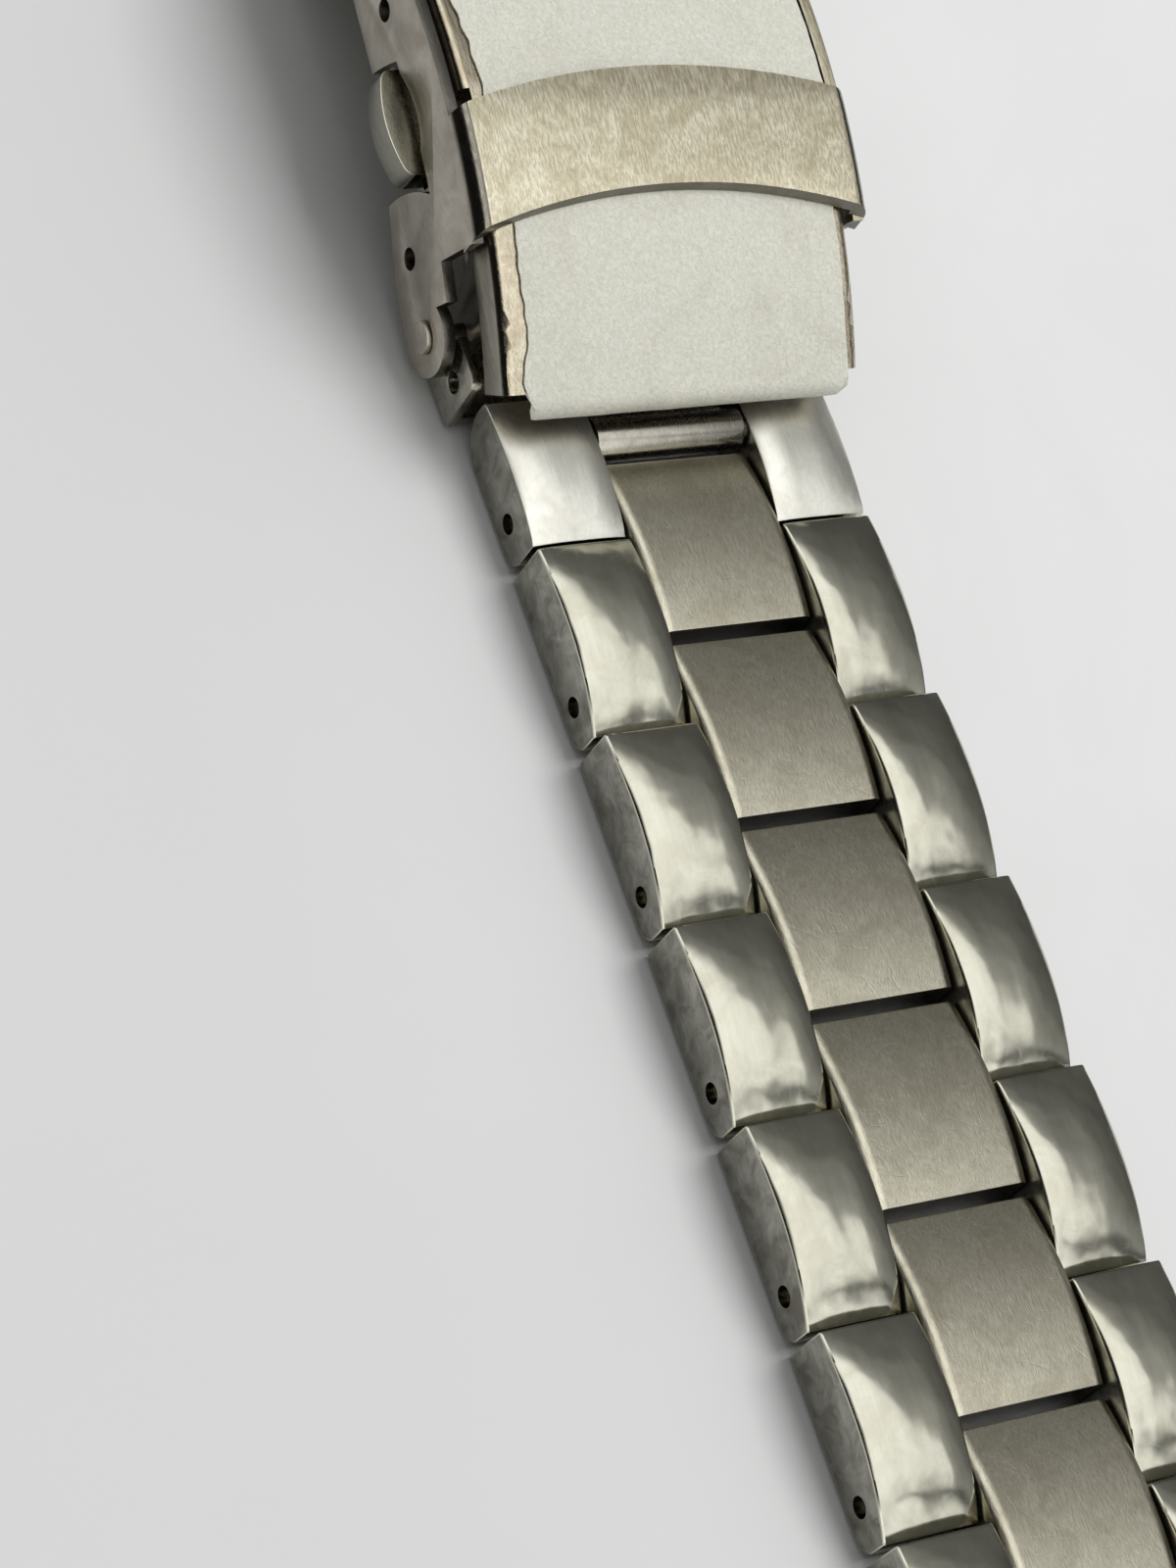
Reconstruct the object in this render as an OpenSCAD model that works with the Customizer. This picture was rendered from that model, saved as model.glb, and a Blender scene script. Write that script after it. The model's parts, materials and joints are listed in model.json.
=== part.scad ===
// Steel link bracelet with a folding clasp, laid out flat with the clasp closed.
// X runs along the bracelet, Y across it and Z up from the surface that it lies on. Sizes are in
// millimetres. The layout is first set out with its zero at the hinge of the front end link, the
// one beside the clasp's safety lock, and is then shifted so that the whole part is centred.

/* [Bracelet] */
// Width over the outer links
band_w = 20; // [19:0.5:24]
// Distance from one hinge to the next
link_pitch = 10.6; // [10.2:0.1:12]
// Links on the front strap, beside the safety lock
links_front = 7; // [5:1:8]
// Links on the back strap, at the adjusting holes
links_back = 4; // [3:1:5]

/* [Links] */
// Height of an outer link at the crest of its arched top
link_h = 4.2; // [4:0.1:4.6]
// Height of an outer link where its arch starts, at the end nearer the clasp
upper_end_h = 3.3; // [3:0.1:3.6]
// Radius of the arched top, seen from the side
arch_r = 10.4; // [10:0.1:12]
// Reach of an outer link past its hinge
lower_reach = 2.2; // [2:0.05:2.4]
// Gap between two outer links
outer_gap = 0.3; // [0.25:0.05:0.5]
// Rounding under the lower end of an outer link
toe_r = 1.1; // [0.8:0.1:1.3]
// Height of the outer link's side face, where its polished bevel starts
bevel_h = 3.5; // [3.3:0.1:3.7]
// Slope of that bevel
bevel_slope = 26; // [20:1:32]
// Drop of the small bevel on the inner edge, below the crest
inner_bevel_drop = 0.5; // [0.3:0.05:0.6]
// Width of a centre link
center_w = 8.9; // [8.4:0.1:9.4]
// Height of a centre link at its crest
center_h = 3.5; // [3.3:0.1:3.7]
// Radius of a centre link's arched top
center_arch_r = 20; // [16:1:26]
// Distance from the hinge to the crest of a centre link
center_crest = 3.6; // [3:0.1:4.2]
// Reach of a centre link's tongue past its hinge
tongue_reach = 2.14; // [1.9:0.02:2.2]
// Gap between two centre links
center_gap = 0.6; // [0.5:0.05:0.8]
// Width of the bevel along a centre link
center_bevel = 0.4; // [0.2:0.05:0.6]
// Gap between a centre link and the outer links beside it
side_gap = 0.17; // [0.12:0.01:0.25]

/* [Pins] */
// Height of the link hinges
hinge_z = 1.3; // [1.2:0.05:1.5]
// Diameter of the link pins
pin_d = 1.06; // [0.9:0.02:1.2]
// Radial clearance where a piece turns on a pin
running = 0.04; // [0.02:0.01:0.08]
// Radial clearance where a pin is pushed into its hole
push = 0.02; // [0.01:0.01:0.03]
// Depth of a pin's end below the side face
pin_recess = 1.2; // [0.6:0.1:1.6]

/* [Clasp cover] */
// Radius of the cover's top
cover_r = 37; // [36:0.5:40]
// Height of the cover's top above the surface below
cover_h = 12.6; // [12.4:0.1:13.4]
// Distance from the front hinge to the crest of the cover
crest_back = 25.3; // [25:0.1:25.6]
// Angle from the crest to the cover's front end
front_angle = 34; // [33:0.5:34.5]
// Angle from the crest to the cover's back end
back_angle = 36; // [35.5:0.5:37]
// Reach of the cover's sides past the outer links
cover_side = 0.7; // [0.5:0.05:0.8]
// Sheet thickness of the cover
cover_t = 0.9; // [0.7:0.1:1]
// Rounding along the cover's long edges
cover_edge_r = 0.6; // [0.4:0.1:0.8]
// Depth of the cover's flange at the front end
flange_d = 2.1; // [2:0.1:2.4]
// Depth of the cover's deep side walls
wall_d = 6.6; // [6.4:0.1:6.7]
// Thickness of the protective film on the cover
film_t = 0.12; // [0.08:0.02:0.14]

/* [Safety lock] */
// Gap between the cover's sides and the lock's skirts
lock_side_gap = 0.4; // [0.35:0.05:0.5]
// Sheet thickness of the safety lock
lock_t = 0.65; // [0.6:0.05:0.75]
// Gap between the cover's top and the lock's band
lock_lift = 0.25; // [0.25:0.05:0.35]
// Length of the band along the bracelet
lock_band_l = 6.2; // [5.6:0.1:6.4]
// Radius of the band's curved edges, seen from above
lock_edge_r = 39.6; // [30:0.5:60]
// Diameter of the small round holes in the sheet parts
small_hole_d = 1.2; // [1:0.05:1.3]

/* [Buttons] */
// Length of a push button
button_l = 5.9; // [5.5:0.1:6.1]
// Height of a push button
button_h = 1.7; // [1.5:0.1:1.8]
// Reach of a button past the lock's side
button_proud = 1.2; // [1:0.1:1.4]
// Radius of the button's curved outer edge
button_r = 8; // [7:0.5:10]
// Radius of the button's corners
button_corner_r = 0.7; // [0.5:0.1:0.9]
// Distance from the cover's top down to the middle of a button
button_d = 5.1; // [5:0.05:5.2]
// Travel of a button
button_travel = 0.8; // [0.6:0.1:0.9]
// Diameter of the wire of the button springs
spring_wire_d = 0.25; // [0.2:0.05:0.3]

/* [Blades] */
// Thickness of the middle blade
middle_t = 0.75; // [0.65:0.05:0.8]
// Thickness of the inner blade
inner_t = 0.7; // [0.6:0.05:0.75]
// Distance from the cover's top down to the inner blade's lower face
inner_d = 8.45; // [8.35:0.05:8.5]
// Gap between the two blades
blade_gap = 0.5; // [0.4:0.05:0.55]
// Gap between a blade's edge and the cover's ears
blade_side_gap = 1; // [0.9:0.05:1.4]
// Outer diameter of the blades' hinge barrels
barrel_d = 2.4; // [2.2:0.05:2.5]
// Diameter of the two blade hinge pins
blade_pin_d = 1.2; // [1:0.05:1.25]

/* [Ends] */
// Diameter of the spring bars at the clasp
bar_d = 1.5; // [1.3:0.05:1.6]
// Diameter of the tube of the case spring bars
case_bar_d = 1.8; // [1.7:0.05:1.9]
// Diameter of a spring bar's tips
tip_d = 0.8; // [0.7:0.05:0.9]
// Reach of a spring bar's tips past the case end piece
tip_reach = 0.95; // [0.8:0.05:1.1]
// Height of the two end links at the clasp
end_h = 4; // [3.8:0.1:4.1]
// Distance from the last hinge to the case spring bar
case_bar_x = 7; // [6.6:0.1:7.6]
// Radius of the end of the case end piece, around its spring bar
case_end_r = 1.95; // [1.85:0.05:2]

/* [Hidden] */
$fn = 64;
e = 0.05;
steel = [0.72, 0.70, 0.66];
polished = [0.82, 0.80, 0.76];
brushed = [0.66, 0.62, 0.55];
paper = [0.93, 0.93, 0.91];

// Link layout, measured from the hinge that a link's tongue turns on
outer_x0 = lower_reach + outer_gap;
outer_x1 = link_pitch + lower_reach;
center_x0 = -tongue_reach;
center_x1 = link_pitch - tongue_reach - center_gap;
outer_y0 = center_w / 2 + side_gap;
outer_y1 = band_w / 2;
rivet_x = (outer_x0 + center_x1) / 2;
rivet_z = 1.7;
rivet_y = outer_y0 + 2.6;
pin_y = outer_y1 - pin_recess;

// Clasp layout: the centre of its arc, and its axes as [x, z]
arc_x = -crest_back;
arc_z = cover_h - cover_r;
wall_r = cover_r - wall_d;
wall_y1 = band_w / 2 + cover_side;
wall_y0 = wall_y1 - cover_t;
ear_y1 = wall_y0 - 0.2;
ear_y0 = ear_y1 - 0.8;
blade_y = ear_y0 - blade_side_gap;
lock_y0 = wall_y1 + lock_side_gap;
lock_y1 = lock_y0 + lock_t;
front_axis = below_top(6.21, 28.73);
fold_axis = below_top(6.88, -30.31);
tube_axis = [-3.8, 2.35];
hole_d = 3.8;
hole_angles = [-33.5, -29.5, -25.5];
back_bar = below_top(hole_d, hole_angles[0]);
inner_r = cover_r - inner_d;
middle_r = inner_r + inner_t + blade_gap;
button_a = 9.2;
button_mid_r = cover_r - button_d;
button_y = lock_y1 + button_proud;
seat_y0 = 3.4;
seat_y1 = 4;
spring_closed_l = 1.4;
button_back_y = seat_y1 + spring_closed_l + button_travel;
hook_y = 1.25;
deep_wall_a = 16;
back_hinge_x = back_bar[0] - 7.98;
back_end_y = wall_y0 - 0.25;
knuckle_y = 3.4;
knuckle_gap = 0.2;
fold_a = -30;

// Spring bars: the one in the front end link, and the ones at the case ends
bar_end_d = 1;
front_bar_y = outer_y0 + 1.4;
case_body_y = band_w / 2 - 0.05;
bar_y = case_body_y - 0.1;
tip_bore_d = case_bar_d - 0.3;
collar_d = tip_d + 0.34;
cap_t = 0.5;

// Ends of the whole part, and the shift that centres it
front_end_x = links_front * link_pitch + case_bar_x + case_end_r;
back_end_x = back_hinge_x - links_back * link_pitch - case_bar_x - case_end_r;
shift_x = -(front_end_x + back_end_x) / 2;

links_all = links_front + links_back;

function id(i) = str(i < 10 ? "0" : "", i);
function on_arc(r, a) = [arc_x + r * sin(a), arc_z + r * cos(a)];
function below_top(d, a) = on_arc(cover_r - d, a);

// A profile drawn as (x, z), made solid from y0 to y1
module wall(y0, y1) {
    translate([0, y1, 0]) rotate([90, 0, 0]) linear_extrude(y1 - y0) children();
}

// The same, over both sides at once
module across(w) {
    wall(-w / 2, w / 2) children();
}

// A profile drawn as (y, z), made solid from x0 to x1
module along(x0, x1) {
    translate([x0, 0, 0]) rotate([90, 0, 90]) linear_extrude(x1 - x0) children();
}

// A round bar across the bracelet at [x, z]
module rod(at, d, y0, y1) {
    translate([at[0], y1, at[1]]) rotate([90, 0, 0]) cylinder(d = d, h = y1 - y0);
}

module both_sides() {
    children();
    mirror([0, 1, 0]) children();
}

// A section drawn as (radius, y), swept about an axis across the bracelet at [x, z]. Angles run
// from straight up towards the front.
module sweep(at, a0, a1) {
    translate([at[0], 0, at[1]]) rotate([90, 0, 0]) rotate([0, 0, 90 - a1])
        rotate_extrude(angle = a1 - a0) children();
}

// A strip bent about a centre, as a side view: from radius r out, t thick
module bent_strip(at, r, t, a0, a1) {
    far = 2 * (r + t);
    difference() {
        intersection() {
            disc(at, r + t);
            polygon([at, for (a = [a0, (a0 + a1) / 2, a1]) at + far * [sin(a), cos(a)]]);
        }
        disc(at, r);
    }
}

// The same along the clasp's arc
module strip(r, t, a0, a1) {
    bent_strip([arc_x, arc_z], r, t, a0, a1);
}

// A place on the clasp's arc: X along it, Z out from its centre
module on_clasp(r, a) {
    p = on_arc(r, a);
    translate([p[0], 0, p[1]]) rotate([0, a, 0]) children();
}

module disc(at, r) {
    translate(at) circle(r);
}

module front_side() {
    translate([shift_x, 0, 0]) children();
}

// The back strap is the front one turned round
module back_side() {
    translate([shift_x + back_hinge_x, 0, 0]) mirror([1, 0, 0]) children();
}

// Links are numbered along the front strap and then along the back one
module at_link(i) {
    if (i <= links_front) front_side() translate([(i - 1) * link_pitch, 0, 0]) children();
    else back_side() translate([(i - links_front - 1) * link_pitch, 0, 0]) children();
}

module at_case_end(side) {
    if (side == "front") front_side() translate([links_front * link_pitch, 0, 0]) children();
    else back_side() translate([links_back * link_pitch, 0, 0]) children();
}

// Everything under an arch whose crest is h high at x
module under_arch(x, h, r) {
    disc([x, h - r], r);
}

// What rounding takes off the foot of a square end at x
module toe_cut(x, r) {
    difference() {
        translate([x - r, -e]) square([r + e, r + e]);
        disc([x - r, r], r);
    }
}

// Side view of an outer link, with a square upper end
module outer_profile(x0, x1) {
    drop = link_h - upper_end_h;
    difference() {
        intersection() {
            translate([x0, 0]) square([x1 - x0, link_h]);
            under_arch(x0 + sqrt(drop * (2 * arch_r - drop)), link_h, arch_r);
        }
        toe_cut(x1, toe_r);
    }
}

// What the flat bevel along an edge takes off: only the crest of the arch reaches above it, so
// the bevel comes out lens-shaped. run is 1 towards +Y from the edge, or -1.
module bevel_cut(x0, x1, y, z, slope, run) {
    reach = 3;
    along(x0 - e, x1 + e) polygon([
        [y - run * e, z - e * tan(slope)],
        [y + run * reach, z + reach * tan(slope)],
        [y + run * reach, z + 2 * reach],
        [y - run * e, z + 2 * reach]]);
}

module outer_solid(x0, x1, y0, y1, h) {
    difference() {
        wall(y0, y1) children();
        bevel_cut(x0, x1, y1, bevel_h + h - link_h, bevel_slope, -1);
        bevel_cut(x0, x1, y0, h - inner_bevel_drop, bevel_slope, 1);
    }
}

module outer_pair() {
    color(polished) both_sides() difference() {
        outer_solid(outer_x0, outer_x1, outer_y0, outer_y1, link_h) outer_profile(outer_x0, outer_x1);
        rod([link_pitch, hinge_z], pin_d + 2 * push, outer_y0 - e, outer_y1 + e);
        rod([rivet_x, rivet_z], pin_d + 2 * push, outer_y0 - e, rivet_y + push);
    }
}

module center_profile(x0, x1) {
    tongue_round = 0.8;
    difference() {
        intersection() {
            translate([x0, 0]) square([x1 - x0, center_h]);
            under_arch(center_crest, center_h, center_arch_r);
        }
        mirror([1, 0]) toe_cut(-x0, tongue_round);
    }
}

module center_solid(x0, x1) {
    difference() {
        across(center_w) center_profile(x0, x1);
        both_sides() bevel_cut(x0, x1, center_w / 2, center_h - center_bevel, 45, -1);
    }
}

module center_link() {
    color(brushed) difference() {
        center_solid(center_x0, center_x1);
        rod([0, hinge_z], pin_d + 2 * running, -center_w, center_w);
        rod([rivet_x, rivet_z], pin_d + 2 * push, -center_w, center_w);
    }
}

// The hinge pin at the lower end, and the hidden pin that joins the outer links to the centre
module link_pins() {
    color(steel) {
        rod([link_pitch, hinge_z], pin_d, -pin_y, pin_y);
        rod([rivet_x, rivet_z], pin_d, -rivet_y, rivet_y);
    }
}

// The end link beside the safety lock turns on the inner blade's tube
module front_end_profile() {
    difference() {
        intersection() {
            union() {
                disc(tube_axis, tube_axis[1]);
                translate([tube_axis[0], 0]) square([lower_reach - tube_axis[0], link_h]);
            }
            under_arch(-2.2, end_h, arch_r);
        }
        toe_cut(lower_reach, toe_r);
    }
}

module front_end_outers() {
    color(polished) both_sides() difference() {
        outer_solid(tube_axis[0] - tube_axis[1], lower_reach, outer_y0, outer_y1, end_h) front_end_profile();
        rod([0, hinge_z], pin_d + 2 * push, outer_y0 - e, outer_y1 + e);
        rod(tube_axis, bar_end_d + 2 * push, outer_y0 - e, front_bar_y + push);
    }
}

module front_end_spring_bar() {
    color(steel) {
        rod(tube_axis, bar_d, -outer_y0 + 0.1, outer_y0 - 0.1);
        rod(tube_axis, bar_end_d, -front_bar_y, front_bar_y);
    }
}

module end_pin(y) {
    color(steel) rod([0, hinge_z], pin_d, -y, y);
}

// The end link at the adjusting holes fits between the cover's side walls
module back_end_profile() {
    eye_r = 1.7;
    neck_x = back_bar[0] - 2.2;
    x1 = back_hinge_x - lower_reach;
    difference() {
        union() {
            disc(back_bar, eye_r);
            polygon([[back_bar[0], back_bar[1] + eye_r - 0.2], [neck_x - 0.6, 3.9], [neck_x - 0.6, 0],
                     [back_bar[0] - 0.6, back_bar[1] - eye_r + 0.15]]);
            intersection() {
                translate([x1, 0]) square([neck_x - x1, end_h]);
                under_arch(back_hinge_x + 3.2, end_h, arch_r);
            }
        }
        translate([2 * x1, 0]) mirror([1, 0]) toe_cut(x1, toe_r);
    }
}

module back_end_link() {
    fork_x = back_hinge_x + tongue_reach + center_gap;
    color(brushed) front_side() difference() {
        across(2 * back_end_y) back_end_profile();
        translate([back_hinge_x - 5, -outer_y0, -e]) cube([fork_x - back_hinge_x + 5, 2 * outer_y0, 5]);
        rod([back_hinge_x, hinge_z], pin_d + 2 * push, -band_w, band_w);
        rod(back_bar, bar_d + 2 * push, -band_w, band_w);
    }
}

module back_end_spring_bar() {
    color(steel) front_side() {
        rod(back_bar, bar_d, -back_end_y + 0.1, back_end_y - 0.1);
        rod(back_bar, small_hole_d - 2 * running, -wall_y1 + 0.1, wall_y1 - 0.1);
    }
}

// The cover's section: a channel with rounded top edges and walls down to radius r0
module channel(r0) {
    half = wall_y1;
    c = cover_edge_r;
    difference() {
        union() {
            translate([r0, -half]) square([cover_r - r0 - c, 2 * half]);
            translate([r0, c - half]) square([cover_r - r0, 2 * (half - c)]);
            for (s = [-1, 1]) disc([cover_r - c, s * (half - c)], c);
        }
        translate([r0 - e, cover_t - half]) square([cover_r - r0 - cover_t + e, 2 * wall_y0]);
    }
}

// Ears under the cover's front end, for the hinge of the middle blade
module cover_ears() {
    ear_r = 1.5;
    both_sides() wall(ear_y0, ear_y1) intersection() {
        union() {
            disc(front_axis, ear_r);
            polygon([front_axis + [-ear_r, 0], front_axis + [-4.5, 8], front_axis + [1.2, 8],
                     front_axis + [ear_r, 0]]);
        }
        disc([arc_x, arc_z], cover_r - cover_t / 2);
    }
}

// Seats under the cover that the button springs push against
module spring_seats() {
    seat_r = button_mid_r - 0.95;
    both_sides() on_clasp(0, button_a) translate([-1.2, seat_y0, seat_r])
        cube([2.4, seat_y1 - seat_y0, cover_r - cover_t / 2 - seat_r]);
}

module clasp_cover() {
    flange_r = cover_r - flange_d;
    color(brushed) front_side() difference() {
        union() {
            difference() {
                sweep([arc_x, arc_z], -back_angle, front_angle) channel(wall_r);
                // Only a flange is left in front of the deep walls
                across(2 * band_w) strip(wall_r - 1, flange_r - wall_r + 1, deep_wall_a, front_angle + 5);
            }
            cover_ears();
            spring_seats();
        }
        // Notches where the arms of the safety lock pass
        both_sides() sweep([arc_x, arc_z], 9.5, 20.5) translate([cover_r - 1.6, wall_y1 - 0.55])
            square([2, 1]);
        // Slots for the buttons
        both_sides() on_clasp(button_mid_r, button_a)
            translate([-button_l / 2 - 0.1, wall_y0 - e, -button_h / 2 - 0.1])
                cube([button_l + 0.2, cover_t + 2 * e, button_h + 0.2]);
        // Adjusting holes
        for (a = hole_angles) rod(below_top(hole_d, a), small_hole_d, -band_w, band_w);
        rod(front_axis, blade_pin_d + 2 * push, -wall_y0, wall_y0);
    }
}

// Film over the cover, under the lock's band, folded down past the front end
module cover_film() {
    lift = 0.02;
    fold_r = 0.9;
    film_y0 = -9.4;
    film_y1 = 9.8;
    fold_a0 = front_angle + 0.6;
    color(paper) front_side() wall(film_y0, film_y1) {
        strip(cover_r + lift, film_t, -back_angle + 1, fold_a0);
        bent_strip(on_arc(cover_r + lift - fold_r, fold_a0), fold_r, film_t, fold_a0 - 8, fold_a0 + 47);
    }
}

// Side view of the safety lock's skirts
module skirt_profile() {
    nose_a = -12.2;
    nose_r = 2.8;
    lobe_r = 2.1;
    swing_gap = 0.3;
    half_a = atan(button_l / 2 / button_mid_r);
    far = norm(on_arc(button_mid_r + button_h / 2, button_a - half_a) - front_axis) + swing_gap;
    near = norm(on_arc(button_mid_r - button_h / 2, button_a + half_a) - front_axis) - swing_gap;
    difference() {
        union() {
            disc(front_axis, lobe_r);
            disc(on_arc(cover_r - nose_r, nose_a), nose_r);
            intersection() {
                disc([arc_x, arc_z], cover_r);
                polygon([
                    below_top(-1, nose_a), below_top(-4, 5), below_top(-1, 22), below_top(0.6, 22.1),
                    below_top(3.5, 22.4), below_top(3.5, 26), below_top(4.7, 26.2),
                    front_axis + [lobe_r - 0.4, 0.6], front_axis, front_axis + [-0.6, -2],
                    below_top(8.8, 23.4), below_top(8, 15.2), below_top(6.2, 3.7), below_top(5.3, -5.4),
                    below_top(2 * nose_r, nose_a)]);
            }
        }
        // The buttons' way out at the lower edge, round the lock's own hinge
        intersection() {
            difference() {
                disc(front_axis, far);
                disc(front_axis, near);
            }
            disc([arc_x, arc_z], button_mid_r + button_h / 2 + 0.75);
        }
    }
}

// The lock's section across the band: a plate with arms down to radius r0
module band_section(r0) {
    bend = 0.9;
    top = cover_r + lock_lift + lock_t;
    inner_bend = bend - lock_t;
    difference() {
        union() {
            translate([r0, -lock_y1]) square([top - r0 - bend, 2 * lock_y1]);
            translate([r0, bend - lock_y1]) square([top - r0, 2 * (lock_y1 - bend)]);
            for (s = [-1, 1]) disc([top - bend, s * (lock_y1 - bend)], bend);
        }
        translate([r0 - e, -lock_y0]) square([top - lock_t - r0 - inner_bend + e, 2 * lock_y0]);
        translate([r0 - e, inner_bend - lock_y0]) square([top - lock_t - r0 + e, 2 * (lock_y0 - inner_bend)]);
    }
}

// Plan of the band: both edges curve away from the front end
module band_plan() {
    corner_x = below_top(0, 21.9)[0];
    sag = lock_edge_r - sqrt(pow(lock_edge_r, 2) - pow(lock_y1, 2));
    difference() {
        disc([corner_x - sag - lock_band_l + lock_edge_r, 0], lock_edge_r);
        disc([corner_x - sag + lock_edge_r, 0], lock_edge_r);
    }
}

module safety_lock() {
    color(brushed) front_side() difference() {
        // One bent sheet, trimmed to the skirts from the side and to the band from above
        intersection() {
            sweep([arc_x, arc_z], -20, 42) band_section(cover_r - 11);
            union() {
                across(2 * band_w) skirt_profile();
                difference() {
                    linear_extrude(2 * cover_h) band_plan();
                    across(2 * band_w) disc([arc_x, arc_z], cover_r - 1);
                }
            }
        }
        both_sides() {
            rod(front_axis, blade_pin_d + 2 * running, lock_y0 - e, lock_y1 + e);
            rod(below_top(3, -0.8), small_hole_d, lock_y0 - e, lock_y1 + e);
            rod(below_top(6.8, 21), small_hole_d, lock_y0 - e, lock_y1 + e);
            // Shallow dish above the button, for a fingertip
            on_clasp(button_mid_r + 1.7, button_a - 0.4) translate([0, lock_y1 + 7.7, 0]) sphere(r = 8);
        }
    }
}

// The pin that the lock and the middle blade turn on, with its rivet heads
module cover_hinge_pin() {
    head_d = 1.75;
    color(polished) front_side() {
        rod(front_axis, blade_pin_d, -lock_y1 - 0.25, lock_y1 + 0.25);
        both_sides() rod(front_axis, head_d, lock_y1 + 0.03, lock_y1 + 0.3);
    }
}

// A button at the left side of its place: its curved tab, and an arm that hooks past the post
module button_solid() {
    arm_x0 = 1.6;
    arm_x1 = 2.5;
    hook_x0 = -0.9;
    hook_l = 0.9;
    arm_h = 0.8;
    corner_x = button_l / 2 - button_corner_r;
    corner_a = asin(corner_x / (button_r - button_corner_r));
    corner_y = button_r - button_y - (button_r - button_corner_r) * cos(corner_a);
    arc_l = 2 * button_r * sin(corner_a);
    translate([0, 0, -button_h / 2]) {
        linear_extrude(button_h) {
            intersection() {
                disc([0, button_r - button_y], button_r);
                translate([-arc_l / 2, -button_y]) square([arc_l, button_y - button_back_y]);
            }
            for (s = [-1, 1]) disc([s * corner_x, corner_y], button_corner_r);
            translate([-button_l / 2, corner_y]) square([button_l, -button_back_y - corner_y]);
        }
        translate([arm_x0, -button_back_y - e, 0.1])
            cube([arm_x1 - arm_x0, button_back_y + hook_y + hook_l + e, arm_h]);
        translate([hook_x0, hook_y, 0.1]) cube([arm_x1 - hook_x0, hook_l, arm_h]);
    }
}

module button_left() {
    color(polished) front_side() on_clasp(button_mid_r, button_a) button_solid();
}

module button_right() {
    color(polished) front_side() on_clasp(button_mid_r, button_a) rotate([0, 0, 180]) button_solid();
}

// A coil along Z: a wire of six sides with eight rings to a turn
module coil(r, wire_d, turns, length) {
    sides = 6;
    rings = 8 * turns;
    points = [for (i = [0:rings], k = [0:sides - 1])
        let (a = 360 * turns * i / rings, b = 360 * k / sides, w = r + wire_d / 2 * cos(b),
             z = wire_d / 2 * (1 + sin(b)) + (length - wire_d) * i / rings)
        [w * cos(a), w * sin(a), z]];
    walls = [for (i = [0:rings - 1], k = [0:sides - 1])
        let (a = i * sides + k, b = i * sides + (k + 1) % sides)
        each [[a, b, b + sides], [a, b + sides, a + sides]]];
    polyhedron(points, concat(walls, [[for (k = [sides - 1:-1:0]) k]],
        [[for (k = [0:sides - 1]) rings * sides + k]]));
}

// A return spring, between a button and its seat
module spring_solid() {
    gap = 0.05;
    on_clasp(button_mid_r, button_a) rotate([90, 0, 0]) translate([0, 0, seat_y1 + gap])
        coil(0.7, spring_wire_d, 4, button_back_y - seat_y1 - 2 * gap);
}

module button_spring_left() {
    color(steel) front_side() spring_solid();
}

module button_spring_right() {
    color(steel) front_side() mirror([0, 1, 0]) spring_solid();
}

// The blade between the cover and the inner blade
module middle_blade() {
    color(brushed) front_side() difference() {
        union() {
            across(2 * blade_y) {
                strip(middle_r, middle_t, fold_a, 28);
                disc(front_axis, barrel_d / 2);
                disc(fold_axis, barrel_d / 2);
            }
        }
        both_sides() rod(fold_axis, barrel_d + 0.3, knuckle_y, band_w);
        // Window that the catch post comes through
        sweep([arc_x, arc_z], 4, 19) translate([middle_r - 1, -3.4]) square([middle_t + 2, 6.8]);
        sweep([arc_x, arc_z], -22, -2) translate([middle_r - 1, -3]) square([middle_t + 2, 6]);
        rod(front_axis, blade_pin_d + 2 * running, -band_w, band_w);
        rod(fold_axis, blade_pin_d + 2 * running, -band_w, band_w);
    }
}

// The blade on the wrist's side, with its side plates and the tube that carries the front strap
module inner_blade() {
    plate_y1 = wall_y1 + 0.1;
    plate_t = 0.6;
    floor_z = 0.15;
    // The blade's arc ends in the flat strip under the tube
    land_a = acos((floor_z + inner_t / 2 - arc_z) / inner_r);
    floor_x0 = on_arc(inner_r, land_a)[0] - 0.3;
    floor_x1 = -6.6;
    plate_x0 = front_axis[0] + 1;
    top = 4.1;
    color(brushed) front_side() difference() {
        union() {
            across(2 * blade_y) {
                strip(inner_r, inner_t, fold_a, land_a + 1.2);
                disc(fold_axis, barrel_d / 2);
                translate([floor_x0, floor_z]) square([floor_x1 - floor_x0, inner_t]);
            }
            across(2 * plate_y1) translate([plate_x0, floor_z]) square([floor_x1 - plate_x0, inner_t]);
            both_sides() wall(plate_y1 - plate_t, plate_y1) {
                translate([plate_x0, 0.05]) square([floor_x1 - plate_x0 - 0.8, top - 0.05]);
                translate([plate_x0, 0.05]) square([floor_x1 - plate_x0, top - 0.85]);
                disc([floor_x1 - 0.8, top - 0.8], 0.8);
            }
            across(2 * outer_y0 - 0.4) polygon([
                [floor_x1 - 0.8, floor_z], [-5.9, floor_z], tube_axis + [0.5, -1], tube_axis + [-1, 0.6],
                [-6.9, floor_z + inner_t]]);
            rod(tube_axis, barrel_d, -outer_y0 + 0.2, outer_y0 - 0.2);
            catch_post();
        }
        rod(fold_axis, barrel_d + 0.3, -knuckle_y - knuckle_gap, knuckle_y + knuckle_gap);
        rod(fold_axis, blade_pin_d + 2 * push, -band_w, band_w);
        rod(tube_axis, bar_d + 2 * running, -band_w, band_w);
        both_sides() rod([floor_x1 - 1.35, 2.2], small_hole_d, plate_y1 - plate_t - e, plate_y1 + e);
        sweep([arc_x, arc_z], -21, 3) translate([inner_r - 1, -2.2]) square([inner_t + 2, 4.4]);
    }
}

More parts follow.
